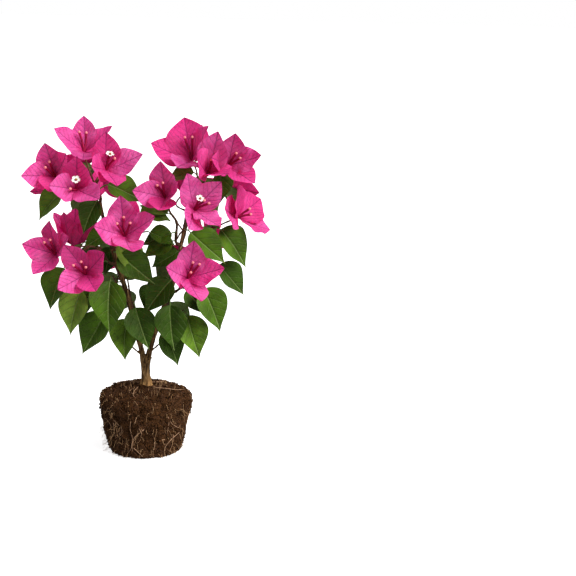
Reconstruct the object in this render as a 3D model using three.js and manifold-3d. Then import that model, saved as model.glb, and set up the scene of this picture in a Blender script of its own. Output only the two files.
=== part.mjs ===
// Bougainvillea on its bare root ball: a short trunk that forks into two boughs, sprays of leaves and
// bract clusters on stems of their own, and the tapered ball of soil and roots that the plant stands on.
// Millimetres, +Z up, the front towards -Y. The origin is the middle of the root ball's flat underside.
import * as THREE from "three";
import { mergeVertices } from "three/addons/utils/BufferGeometryUtils.js";
import Module from "manifold-3d";

const wasm = await Module();
wasm.setup();

// ---- driving sizes ----
const seatGap = 0.3; // between solids that touch
const rootBall = {
  footRadius: 46, rimRadius: 56, rimHeight: 67, crownHeight: 80, seatRadius: 11, lump: 1.6, sides: 24,
};
const trunk = {
  run: [[1, 7, 80.3], [0.5, 4, 95], [-0.5, 1, 121]],
  radii: [9.4, 6.8, 6.2, 7.2], // root flare, neck, swelling under the fork
  shape: { sides: 10, steps: 7, levelFoot: true, levelTop: true },
};
const boughShape = { sides: 6, steps: 14, levelFoot: true };
const boughs = {
  bough_left: {
    run: [[-3.9, 1, 121.3], [-8, -3, 140], [-18, -10, 181], [-26, -13, 213], [-39, -16, 255], [-49, -18, 290],
      [-53, -18, 313]],
    radii: [3.1, 2.9, 1.6],
  },
  bough_right: {
    run: [[4.1, 1, 121.3], [9, 2, 139], [21, -4, 178], [33, -5, 210], [39, -4, 242], [45.5, -8, 277]],
    radii: [3.3, 2.8, 1.7],
  },
};
const stem = { radius: 1.5, tipRadius: 0.95, sides: 4, steps: 6, straight: 7 };
const twig = { radius: 1, tipRadius: 0.8, sides: 3, steps: 3, sweep: 0.4 };
// A leaf stalk's way is how much it goes outward, along the leaf and up. Its end is sunk into the blade.
const petiole = {
  radius: 0.75, tipRadius: 0.6, sides: 3, steps: 2, share: 0.16, least: 3, sunk: 0.22, way: [0.6, 0.5, 0.2],
};
const leafBlade = { width: 0.66, rise: 0.62, fall: 1.1, fold: 0.2, arch: 0.16, thick: 1.1 };
const bractBlade = { width: 0.76, rise: 0.9, fall: 0.86, fold: 0.14, arch: -0.14, thick: 1.0, roll: 11 };
const flower = {
  receptacle: 2.4, tube: 21, tubeRadius: 1.1, tubeSpread: 0.3, length: 43, open: 58, bractFoot: 1,
};
const bladeStations = [0.2, 0.6];
// How near a filling leaf may come to another spray and to its own.
const spacing = { apart: 8, within: 4.5 };
const bareFork = { halfWidth: 30, height: 165, lowest: 118 }; // no filling leaf hangs into this space

// ---- the sprays: which limb each leaves, where its stem runs, and what it carries ----
// A bloom gives the share of the stem where its twig leaves, its throat and the way that faces. A leaf is
// [share along what carries it, compass of its face, lean of its tip, length]. A shoot carries leaves only.
// The sprays of the far side face outward by rule, and fill counts the leaves that a seeded rule then tries
// to add.
const sprays = {
  crown_left: {
    limb: "bough_left", at: 1, run: [[-57, -21, 326], [-62, -24, 342]],
    leaves: [[0.16, 262, -26, 41], [0.67, 280, 64, 48]],
    blooms: [
      { from: 0.95, throat: [-71, -26, 373], toward: [-0.08, -0.5, 0.86], turn: -5, bracts: 4 },
      {
        from: 0.6, throat: [-104, -36, 345], toward: [-0.2, -0.93, 0.32],
        turn: -7, bracts: 4, open: 51, length: 45,
      },
      { from: 0.5, throat: [-77, -74, 335], toward: [-0.02, -0.92, 0.39], turn: 12, open: 48, length: 45 },
      {
        from: 0.8, throat: [-45, -46, 354], toward: [0.28, -0.86, 0.44],
        turn: -6, bracts: 4, open: 48, length: 46,
      },
      { from: 0.5, throat: [-50, -2, 338], toward: [0.6, 0.5, -0.25], length: 36, open: 48 },
    ],
    shoots: [{ from: 0.5, to: [-88, -30, 328], leaves: [[1, 240, -42, 44]] }],
  },
  spray_left: {
    limb: "bough_left", at: 0.62, run: [[-56, -24, 258], [-76, -32, 262]],
    leaves: [[0.35, 262, -80, 38]],
    blooms: [
      { from: 0.95, throat: [-104, -46, 255], toward: [-0.5, -0.76, 0.4], bracts: 4, length: 42 },
      { from: 0.8, throat: [-87, 2, 256], toward: [0.1, 0.1, 0.95], turn: 50, open: 42, length: 47 },
      {
        from: 0.7, throat: [-68, -77, 238], toward: [-0.14, -0.93, 0.34],
        turn: -38, bracts: 4, open: 54, length: 44,
      },
    ],
    shoots: [{ from: 0.83, to: [-88, -36, 242], leaves: [[1, 240, -14, 53]] }],
  },
  spray_centre: {
    limb: "bough_left", at: 0.7, run: [[-36, -32, 268], [-30, -44, 270]],
    blooms: [{
      from: 0.9, throat: [-24, -76, 282], toward: [0.04, -0.82, 0.57],
      turn: -8, bracts: 4, open: 52, length: 49,
    }],
    shoots: [{ from: 0.5, to: [-37, -36, 256], leaves: [[1, 280, 44, 54]] }],
  },
  skirt_left: {
    limb: "bough_left", at: 0.42, run: [[-36, -26, 214], [-52, -32, 216]],
    shoots: [
      { from: 0.5, to: [-39, -44, 230], leaves: [[1, 265, -6, 62]] },
      { from: 0.98, to: [-70, -40, 216], leaves: [[1, 250, -14, 54], [0.3, 240, -12, 42]] },
      { from: 0.4, to: [-40, -26, 186], leaves: [[1, 245, -12, 58]] },
    ],
  },
  skirt_middle: {
    limb: "bough_left", at: 0.3, run: [[-14, -22, 190], [-14, -34, 194]],
    leaves: [[1, 272, 14, 52]],
    shoots: [{ from: 0.4, to: [-18, -24, 178], leaves: [[1, 255, -8, 50]] }],
  },
  skirt_right: {
    limb: "bough_right", at: 0.35, run: [[26, -16, 180], [29, -34, 198]],
    leaves: [[1, 270, 0, 55]],
    shoots: [
      { from: 0.15, to: [18, -16, 160], leaves: [[1, 285, 20, 46]] },
      { from: 0.4, to: [46, -22, 182], leaves: [[1, 282, 10, 54]] },
    ],
  },
  spray_low_right: {
    limb: "bough_right", at: 0.56, run: [[40, -22, 208], [44, -34, 218]],
    blooms: [{
      from: 0.95, throat: [49, -76, 233], toward: [0.28, -0.82, 0.5],
      turn: 5, bracts: 4, open: 56, length: 47,
    }],
    shoots: [
      { from: 0.8, to: [35, -34, 225], leaves: [[1, 262, -38, 50]] },
      { from: 0.4, to: [63, -26, 215], leaves: [[1, 285, 22, 56], [0.3, 280, 36, 40]] },
    ],
  },
  spray_inner: {
    limb: "bough_right", at: 0.93, run: [[37, -18, 288], [28, -28, 304]],
    leaves: [[0.25, 262, -58, 38], [0.55, 262, -66, 38], [0.8, 262, -112, 42]],
    blooms: [{
      from: 0.95, throat: [23, -52, 323], toward: [-0.21, -0.89, 0.41],
      turn: 5, bracts: 4, open: 46, length: 45,
    }],
    shoots: [{ from: 0.3, to: [46, -42, 284], leaves: [[1, 280, 42, 54]] }],
  },
  crown_right: {
    limb: "bough_right", at: 1, run: [[50, -12, 302], [62, -16, 332]],
    blooms: [
      {
        from: 0.95, throat: [54, -22, 364], toward: [-0.44, -0.45, 0.78],
        turn: -28, bracts: 4, open: 52, length: 50,
      },
      {
        from: 0.95, throat: [72, -44, 350], toward: [0.1, -0.8, 0.58],
        turn: 25, open: 38, length: 52, leaves: [[0.3, 250, -74, 34]],
      },
      {
        from: 0.85, throat: [98, -27, 359], toward: [0.22, -0.9, 0.36],
        bracts: 4, open: 48, length: 45, leaves: [[0.6, 290, 12, 38]],
      },
      {
        from: 0.35, throat: [56, -77, 313], toward: [0.4, -0.82, 0.4],
        turn: -38, bracts: 4, open: 62, length: 45,
      },
    ],
  },
  spray_right: {
    limb: "bough_right", at: 0.8, run: [[58, -14, 266], [81, -18, 284]],
    leaves: [[1, 292, 36, 55]],
    blooms: [{
      from: 0.9, throat: [110, -22, 296], toward: [0.72, 0.05, 0.3],
      turn: -25, bracts: 4, open: 60, length: 45,
    }],
    shoots: [{ from: 0.4, to: [79, -15, 240], leaves: [[1, 300, 34, 50]] }],
  },
  back_crown_left: {
    limb: "bough_left", at: 0.86, run: [[-56, 10, 306], [-66, 28, 322]], fill: 12,
    blooms: [
      { from: 0.95, throat: [-62, 36, 356] },
      { from: 0.8, throat: [-98, 22, 326] },
      { from: 0.6, throat: [-56, 60, 308] },
    ],
  },
  back_left: {
    limb: "bough_left", at: 0.5, run: [[-40, 12, 238], [-52, 32, 246]], fill: 14,
    blooms: [{ from: 0.95, throat: [-76, 52, 258] }, { from: 0.8, throat: [-22, 62, 268] }],
  },
  back_low: {
    limb: "bough_left", at: 0.2, run: [[-14, 18, 164], [-20, 36, 194]], fill: 14,
    blooms: [{ from: 0.95, throat: [-30, 74, 218] }],
  },
  back_crown_right: {
    limb: "bough_right", at: 0.9, run: [[54, 12, 296], [64, 28, 316]], fill: 12,
    blooms: [
      { from: 0.95, throat: [62, 34, 358] },
      { from: 0.8, throat: [98, 30, 328] },
      { from: 0.6, throat: [46, 62, 312] },
    ],
  },
  back_right: {
    limb: "bough_right", at: 0.45, run: [[38, 16, 220], [48, 34, 236]], fill: 16,
    blooms: [{ from: 0.95, throat: [74, 52, 258] }, { from: 0.8, throat: [34, 70, 244] }],
  },
};
const up = new THREE.Vector3(0, 0, 1);
const radians = THREE.MathUtils.degToRad;

function swing(from, to, angle) {
  return from.clone().multiplyScalar(Math.cos(angle)).addScaledVector(to, Math.sin(angle));
}

// ---- shared shapes ----
const vec = (p) => new THREE.Vector3(...p);

// A smooth run through points: uniform Catmull-Rom, its ends held by mirrored neighbours.
function pointAlong(run, share) {
  const last = run.length - 1;
  const place = Math.min(Math.max(share, 0), 1) * last;
  const i = Math.min(Math.floor(place), last - 1);
  const t = place - i;
  const p1 = vec(run[i]);
  const p2 = vec(run[i + 1]);
  const p0 = i > 0 ? vec(run[i - 1]) : p1.clone().multiplyScalar(2).sub(p2);
  const p3 = i + 2 <= last ? vec(run[i + 2]) : p2.clone().multiplyScalar(2).sub(p1);
  const blend = (a, b, c, d) =>
    0.5 * (2 * b + (c - a) * t + (2 * a - 5 * b + 4 * c - d) * t ** 2 + (3 * b - a - 3 * c + d) * t ** 3);
  const [x, y, z] = ["x", "y", "z"].map((axis) => blend(p0[axis], p1[axis], p2[axis], p3[axis]));
  return new THREE.Vector3(x, y, z);
}

// The joints of a run, where twigs and leaf stalks leave it, lie on the rings of its solid.
const jointAlong = (run, share, { steps }) => pointAlong(run, Math.round(share * steps) / steps);

function headingAlong(run, share) {
  return pointAlong(run, share + 0.02).sub(pointAlong(run, share - 0.02)).normalize();
}

function radiusAlong(radii, share) {
  const place = Math.min(Math.max(share, 0), 1) * (radii.length - 1);
  const i = Math.min(Math.floor(place), radii.length - 2);
  return radii[i] + (radii[i + 1] - radii[i]) * (place - i);
}

function solidFrom(geometry) {
  geometry.deleteAttribute("normal");
  geometry.deleteAttribute("uv");
  const merged = mergeVertices(geometry, 1e-4);
  return new wasm.Manifold(new wasm.Mesh({
    numProp: 3,
    vertProperties: merged.attributes.position.array,
    triVerts: new Uint32Array(merged.index.array),
  }));
}

// A cylinder bent along a run, thinning as its radii say. A level foot or top stays level with the ground.
function limbSolid(run, radii, { sides, steps, levelFoot = false, levelTop = false }) {
  const tube = new THREE.CylinderGeometry(1, 1, 1, sides, steps);
  const place = tube.attributes.position;
  const rings = [];
  let sideways = new THREE.Vector3(1, 0, 0);
  for (let i = 0; i <= steps; i++) {
    const heading = headingAlong(run, i / steps);
    if ((levelFoot && i === 0) || (levelTop && i === steps)) heading.copy(up);
    if (Math.abs(sideways.dot(heading)) > 0.9) sideways = new THREE.Vector3(0, 1, 0);
    sideways = sideways.clone().addScaledVector(heading, -sideways.dot(heading)).normalize();
    const forward = new THREE.Vector3().crossVectors(heading, sideways);
    const [centre, radius] = [pointAlong(run, i / steps), radiusAlong(radii, i / steps)];
    rings.push({ centre, radius, sideways, forward });
  }
  for (let v = 0; v < place.count; v++) {
    const ring = rings[Math.round((place.getY(v) + 0.5) * steps)];
    const across = Math.hypot(place.getX(v), place.getZ(v)) * ring.radius;
    const angle = Math.atan2(place.getX(v), place.getZ(v));
    const p = ring.centre.clone()
      .addScaledVector(ring.sideways, across * Math.cos(angle))
      .addScaledVector(ring.forward, across * Math.sin(angle));
    place.setXYZ(v, p.x, p.y, p.z);
  }
  return solidFrom(tube);
}

// A pointed ovate blade, folded on its midrib and arched along it. Returns its surface as a function of how
// far along it a point lies, how far to the side (-1 to 1) and how deep.
function bladeSurface(base, heading, facing, length, form) {
  const along = heading.clone().normalize();
  const flat = facing.clone().addScaledVector(along, -facing.dot(along)).normalize();
  const roll = radians(form.roll ?? 0);
  const normal = swing(flat, new THREE.Vector3().crossVectors(flat, along), roll);
  const across = new THREE.Vector3().crossVectors(normal, along);
  const peak = form.rise / (form.rise + form.fall);
  const widest = Math.pow(peak, form.rise) * Math.pow(1 - peak, form.fall);
  return (t, side, depth = 0) => {
    const half = (0.5 * form.width * length * Math.pow(t, form.rise) * Math.pow(1 - t, form.fall)) / widest;
    const height = form.fold * half * Math.abs(side) - form.arch * length * t * t + depth;
    return base.clone().addScaledVector(along, t * length)
      .addScaledVector(across, side * half).addScaledVector(normal, height);
  };
}

function bladeSolid({ base, heading, facing, length, form }) {
  const at = bladeSurface(base, heading, facing, length, form);
  const deep = form.thick / 2;
  const rings = bladeStations.map((t) => [at(t, -1), at(t, 0, deep), at(t, 1), at(t, 0, -deep)]);
  const corners = [];
  const face = (...points) => points.forEach((p) => corners.push(p.x, p.y, p.z));
  for (let k = 0; k < 4; k++) {
    const next = (k + 1) % 4;
    face(at(0, 0), rings[0][k], rings[0][next]);
    for (let i = 0; i + 1 < rings.length; i++) {
      face(rings[i][k], rings[i + 1][k], rings[i + 1][next]);
      face(rings[i][k], rings[i + 1][next], rings[i][next]);
    }
    face(rings[rings.length - 1][k], at(1, 0), rings[rings.length - 1][next]);
  }
  const places = new THREE.Float32BufferAttribute(corners, 3);
  return solidFrom(new THREE.BufferGeometry().setAttribute("position", places));
}

// ---- how a spray grows ----
// A leaf hangs with its face towards a compass bearing (0 is +X, 270 the front), its tip swung sideways by
// the lean and lifted off the vertical the more it leans.
function growLeaf(node, [compass, lean, length]) {
  const lift = radians(14 + 0.38 * Math.abs(lean));
  const outward = new THREE.Vector3(Math.cos(radians(compass)), Math.sin(radians(compass)), 0);
  const aside = new THREE.Vector3(-outward.y, outward.x, 0);
  const hanging = outward.clone().multiplyScalar(Math.sin(lift)).addScaledVector(up, -Math.cos(lift));
  const facing = swing(outward, up, lift);
  const heading = swing(hanging, aside, radians(lean));
  const reach = petiole.least + petiole.share * length;
  const [out, down, rise] = petiole.way;
  const way = outward.clone().multiplyScalar(out).addScaledVector(heading, down).addScaledVector(up, rise);
  const base = node.clone().addScaledVector(way.normalize(), reach);
  const bend = node.clone().lerp(base, 0.6).addScaledVector(up, reach * 0.12);
  const sunk = base.clone().addScaledVector(heading, petiole.sunk * length);
  return {
    petiole: [node, bend, base, sunk].map((p) => p.toArray()),
    blade: { base, heading, facing, length, form: leafBlade },
  };
}

// Bracts stand round the throat like a pinwheel, each tipped off the way the bloom faces by its opening
// angle. The turn swings them clockwise as seen by someone the bloom faces.
function growBloom({ throat, toward, turn = 0, bracts = 3, open = flower.open, length = flower.length }) {
  const axis = vec(toward).normalize();
  const top = up.clone().addScaledVector(axis, -up.dot(axis)).normalize();
  const right = new THREE.Vector3().crossVectors(top, axis);
  const spoke = (degrees) => swing(top, right, radians(degrees + turn));
  const centre = vec(throat);
  const blades = [];
  for (let k = 0; k < bracts; k++) {
    const out = spoke((360 / bracts) * k);
    const heading = swing(axis, out, radians(open));
    const facing = swing(out.clone().negate(), axis, radians(open));
    const base = centre.clone().addScaledVector(heading, flower.bractFoot);
    blades.push({ base, heading, facing, length, form: bractBlade });
  }
  const tubes = [60, 180, 300].map((degrees) => {
    const way = axis.clone().addScaledVector(spoke(degrees), flower.tubeSpread).normalize();
    return [throat, centre.clone().addScaledVector(way, flower.tube).toArray()];
  });
  return { centre, blades, tubes };
}

// The stem leaves the side of its limb square, or carries on from the limb's tip, seatGap clear of it.
function stemRun({ limb, at, run }) {
  const { run: limbRun, radii } = boughs[limb];
  const centre = pointAlong(limbRun, at);
  const heading = headingAlong(limbRun, at);
  const towards = vec(run[0]).sub(centre);
  const way = at === 1 ? heading : towards.addScaledVector(heading, -towards.dot(heading)).normalize();
  const off = at === 1 ? seatGap : radiusAlong(radii, at) + seatGap;
  const start = centre.clone().addScaledVector(way, off);
  return [start.toArray(), start.clone().addScaledVector(way, stem.straight).toArray(), ...run];
}

function growSpray(name, spray) {
  const run = stemRun(spray);
  const grown = { name, stem: run, twigs: [], blooms: [], leaves: [] };
  const addLeaves = (carrier, size, leaves = []) => leaves.forEach(([share, ...leaf]) =>
    grown.leaves.push(growLeaf(jointAlong(carrier, share, size), leaf)));
  addLeaves(run, stem, spray.leaves);
  for (const bloom of spray.blooms ?? []) {
    const [x, y] = bloom.throat;
    const toward = bloom.toward ?? [x * 0.014, y * 0.014, 0.6];
    const from = jointAlong(run, bloom.from, stem);
    const to = vec(bloom.throat);
    const sweep = twig.sweep * from.distanceTo(to);
    const bend = to.clone().addScaledVector(vec(toward).normalize(), -sweep).lerp(from, 0.15);
    grown.twigs.push([from.toArray(), bend.toArray(), bloom.throat]);
    grown.blooms.push(growBloom({ ...bloom, toward }));
    addLeaves(grown.twigs.at(-1), twig, bloom.leaves);
  }
  for (const shoot of spray.shoots ?? []) {
    const from = jointAlong(run, shoot.from, stem);
    const bend = from.clone().lerp(vec(shoot.to), 0.5).addScaledVector(up, twig.sweep * 6);
    grown.twigs.push([from.toArray(), bend.toArray(), shoot.to]);
    addLeaves(grown.twigs.at(-1), twig, shoot.leaves);
  }
  return grown;
}

// ---- filling leaves: tried by a seeded rule, and skipped where they would meet what is there ----
function bladeSamples(blade) {
  const at = bladeSurface(blade.base, blade.heading, blade.facing, blade.length, blade.form);
  return [0.3, 0.55, 0.8, 1].flatMap((t) => [-0.75, 0, 0.75].map((side) => at(t, side)));
}

const runSamples = (run, count) => Array.from({ length: count + 1 }, (_, i) => pointAlong(run, i / count));

function draws(seed) {
  let state = seed;
  return () => {
    state = (Math.imul(state, 1664525) + 1013904223) >>> 0;
    return state / 2 ** 32;
  };
}

function isTooLow({ x, z }) {
  return z < bareFork.lowest || (z < bareFork.height && Math.abs(x) < bareFork.halfWidth);
}

function isTooNear(sample, { owner, point, isBlade }, name) {
  if (owner === name) return isBlade && sample.distanceTo(point) <= spacing.within;
  return sample.distanceTo(point) <= spacing.apart;
}

function fillLeaves(grown, tries, taken, draw) {
  for (let i = 0; i < tries; i++) {
    const onTwig = Math.floor(draw() * (grown.twigs.length + 1)) - 1;
    const node = onTwig < 0
      ? jointAlong(grown.stem, 0.3 + 0.7 * draw(), stem)
      : jointAlong(grown.twigs[onTwig], 0.2 + 0.6 * draw(), twig);
    const outward = THREE.MathUtils.radToDeg(Math.atan2(node.y, node.x));
    const leaf = growLeaf(node, [outward + 110 * (draw() - 0.5), 90 * (draw() - 0.5), 42 + 14 * draw()]);
    const samples = bladeSamples(leaf.blade);
    if (samples.some((s) => isTooLow(s) || taken.some((other) => isTooNear(s, other, grown.name)))) continue;
    grown.leaves.push(leaf);
    samples.forEach((point) => taken.push({ owner: grown.name, point, isBlade: true }));
  }
}

// ---- nodes ----
function rootBallSolid() {
  const { footRadius, rimRadius, rimHeight, crownHeight, seatRadius, lump, sides } = rootBall;
  const profile = [
    [0, 0], [footRadius - 5, 0], [footRadius - 0.5, 3], [footRadius + 0.5, 10], [footRadius + 4, 27],
    [footRadius + 8, 44], [rimRadius, 59], [rimRadius - 1.5, rimHeight - 1], [rimRadius - 7, rimHeight + 4],
    [rimRadius * 0.7, crownHeight - 4.5], [rimRadius * 0.4, crownHeight - 1.2], [seatRadius, crownHeight],
    [0, crownHeight],
  ].map(([r, z]) => new THREE.Vector2(r, z));
  const ball = new THREE.LatheGeometry(profile, sides).rotateX(Math.PI / 2);
  const place = ball.attributes.position;
  for (let v = 0; v < place.count; v++) {
    const [x, y, z] = [place.getX(v), place.getY(v), place.getZ(v)];
    const radius = Math.hypot(x, y);
    if (radius <= seatRadius + 0.01 || z < 1) continue; // the seat of the trunk and the underside stay flat
    const angle = Math.atan2(y, x);
    const broad = Math.sin(3 * angle + 0.13 * z);
    const fine = 0.7 * Math.sin(7 * angle - 0.2 * z + 1) + 0.5 * Math.sin(11 * angle + 2);
    const swell = 1 + (lump * (broad + fine)) / 2.2 / radius;
    place.setXYZ(v, x * swell, y * swell, z);
  }
  return solidFrom(ball);
}

function spraySolid({ stem: run, twigs, blooms, leaves }) {
  const solids = [limbSolid(run, [stem.radius, stem.tipRadius], stem)];
  twigs.forEach((one) => solids.push(limbSolid(one, [twig.radius, twig.tipRadius], twig)));
  for (const { centre, blades, tubes } of blooms) {
    const knob = new THREE.OctahedronGeometry(flower.receptacle, 0).translate(centre.x, centre.y, centre.z);
    solids.push(solidFrom(knob), ...blades.map(bladeSolid));
    const thick = [flower.tubeRadius, flower.tubeRadius];
    tubes.forEach((tube) => solids.push(limbSolid(tube, thick, { sides: 3, steps: 1 })));
  }
  for (const leaf of leaves) {
    solids.push(limbSolid(leaf.petiole, [petiole.radius, petiole.tipRadius], petiole));
    solids.push(bladeSolid(leaf.blade));
  }
  return solids.reduce((all, one) => all.add(one));
}

const finishes = {
  soil: new THREE.MeshStandardMaterial({ color: 0x3b2417, roughness: 0.95, metalness: 0 }),
  bark: new THREE.MeshStandardMaterial({ color: 0x6b4a2e, roughness: 0.8, metalness: 0 }),
  foliage: new THREE.MeshStandardMaterial({ color: 0x3f6b24, roughness: 0.55, metalness: 0 }),
  blossom: new THREE.MeshStandardMaterial({ color: 0xd42a86, roughness: 0.6, metalness: 0 }),
};

function meshOf(name, solid, finish) {
  const { vertProperties, triVerts, numProp } = solid.getMesh();
  const places = new Float32Array((vertProperties.length / numProp) * 3);
  for (let v = 0; v < places.length / 3; v++) {
    places.set(vertProperties.subarray(v * numProp, v * numProp + 3), v * 3);
  }
  const geometry = new THREE.BufferGeometry()
    .setAttribute("position", new THREE.BufferAttribute(places, 3))
    .setIndex(new THREE.BufferAttribute(triVerts, 1));
  geometry.computeVertexNormals();
  const mesh = new THREE.Mesh(geometry, finish);
  mesh.name = name;
  return mesh;
}

const plant = new THREE.Group();
plant.add(meshOf("root_ball", rootBallSolid(), finishes.soil));
plant.add(meshOf("trunk", limbSolid(trunk.run, trunk.radii, trunk.shape), finishes.bark));
for (const [name, { run, radii }] of Object.entries(boughs)) {
  plant.add(meshOf(name, limbSolid(run, radii, boughShape), finishes.bark));
}

const grown = Object.entries(sprays).map(([name, spray]) => growSpray(name, spray));
const taken = [trunk, ...Object.values(boughs)]
  .flatMap(({ run }) => runSamples(run, 40).map((point) => ({ owner: "limbs", point, isBlade: false })));
for (const { name, stem: run, twigs, blooms, leaves } of grown) {
  const wood = [run, ...twigs].flatMap((one) => runSamples(one, 8));
  wood.forEach((point) => taken.push({ owner: name, point, isBlade: false }));
  const blades = [...blooms.flatMap((bloom) => bloom.blades), ...leaves.map((leaf) => leaf.blade)];
  blades.flatMap(bladeSamples).forEach((point) => taken.push({ owner: name, point, isBlade: true }));
}
const draw = draws(19);
for (const spray of grown) {
  fillLeaves(spray, sprays[spray.name].fill ?? 0, taken, draw);
  plant.add(meshOf(spray.name, spraySolid(spray), spray.blooms.length ? finishes.blossom : finishes.foliage));
}

export default plant;
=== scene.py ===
# A bougainvillea on its bare root ball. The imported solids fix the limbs, the root ball and the reach of
# each spray. The plant is grown here again by the rule of those solids, with fine leaves, bracts and roots.
import math
import random

import bpy
import numpy as np
from mathutils import Matrix, Vector, noise


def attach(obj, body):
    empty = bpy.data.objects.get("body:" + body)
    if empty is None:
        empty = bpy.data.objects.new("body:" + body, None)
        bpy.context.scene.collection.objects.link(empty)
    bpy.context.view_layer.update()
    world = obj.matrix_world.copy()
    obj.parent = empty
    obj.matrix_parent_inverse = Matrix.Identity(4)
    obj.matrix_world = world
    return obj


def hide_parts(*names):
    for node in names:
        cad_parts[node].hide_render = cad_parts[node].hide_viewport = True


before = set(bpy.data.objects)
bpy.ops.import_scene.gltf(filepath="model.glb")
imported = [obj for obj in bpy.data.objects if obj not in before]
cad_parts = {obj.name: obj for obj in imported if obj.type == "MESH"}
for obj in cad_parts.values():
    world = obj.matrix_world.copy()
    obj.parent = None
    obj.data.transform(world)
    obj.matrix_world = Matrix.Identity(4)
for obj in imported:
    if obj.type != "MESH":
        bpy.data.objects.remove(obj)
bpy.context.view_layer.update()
mm = 0.001  # lengths below are in millimetres, and a mesh gets them in metres
wholeTurn = 6.2832
up = np.array((0.0, 0.0, 1.0))
print("frame loaded:", len(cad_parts), "solids")

# What the solids were grown from. A bloom gives the share of the stem where its twig leaves, its throat and
# the way that faces. A leaf is (share along what carries it, compass of its face, lean of its tip, length).
# Finer blooms than the solids have also give an aim, their petals as (turn, opening, breadth) and a sweep.
boughs = {
    "bough_left": {
        "run": ((-3.9, 1, 121.3), (-8, -3, 140), (-18, -10, 181), (-26, -13, 213), (-39, -16, 255),
                (-49, -18, 290), (-53, -18, 313)),
        "radii": (3.1, 2.9, 1.6),
    },
    "bough_right": {
        "run": ((4.1, 1, 121.3), (9, 2, 139), (21, -4, 178), (33, -5, 210), (39, -4, 242), (45.5, -8, 277)),
        "radii": (3.3, 2.8, 1.7),
    },
}
trunk = {"run": ((1, 7, 80.3), (0.5, 4, 95), (-0.5, 1, 121)), "radii": (9.4, 6.8, 6.2, 7.2)}
stem = {"radius": 1.5, "tipRadius": 0.95, "steps": 6, "straight": 7, "gap": 0.3, "below": 6}
twig = {"radius": 1, "tipRadius": 0.8, "steps": 3, "sweep": 0.4, "easing": 0.15, "rise": 2.4}
petiole = {
    "radius": 0.75, "tipRadius": 0.6, "share": 0.16, "least": 3, "way": (0.6, 0.5, 0.2), "rise": 0.12,
    "bendAt": 0.6, "hang": 14, "hangMore": 0.38,
}
leafForm = {"width": 0.66, "rise": 0.62, "fall": 1.1, "fold": 0.2, "arch": 0.16, "roll": 0}
bractForm = {"width": 0.76, "rise": 0.9, "fall": 0.86, "fold": 0.14, "arch": -0.14, "roll": 11, "foot": 1}
filling = {
    "apart": 8, "within": 4.5, "halfWidth": 30, "height": 165, "lowest": 118, "seed": 19,
    "stem": (0.3, 0.7), "twig": (0.2, 0.6), "fan": 110, "lean": 90, "length": (42, 14),
    "rows": (0.3, 0.55, 0.8, 1), "side": 0.75,
}
bud = "bud"
star = "star"
plainFlowers = ((60, 18, bud), (180, 16, bud), (300, 20, bud))  # turn about the throat, lean off its axis


def bloom(at, throat, toward=None, turn=0, bracts=3, opening=58, length=43, leaves=(), flowers=plainFlowers,
          petals=(), aim=None, sweep=1):
    if toward is None:  # outwards and up
        toward = (throat[0] * 0.014, throat[1] * 0.014, 0.6)
    return {"at": at, "throat": throat, "toward": toward, "turn": turn, "bracts": bracts,
            "opening": opening, "length": length, "leaves": leaves, "flowers": flowers,
            "petals": petals, "aim": aim, "sweep": sweep}


def shoot(at, to, *leaves):
    return {"at": at, "to": to, "leaves": leaves}


def spray(limb, at, run, leaves=(), blooms=(), shoots=(), fill=0):
    return {"limb": limb, "at": at, "run": run, "leaves": leaves, "blooms": blooms,
            "shoots": shoots, "fill": fill}


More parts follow.
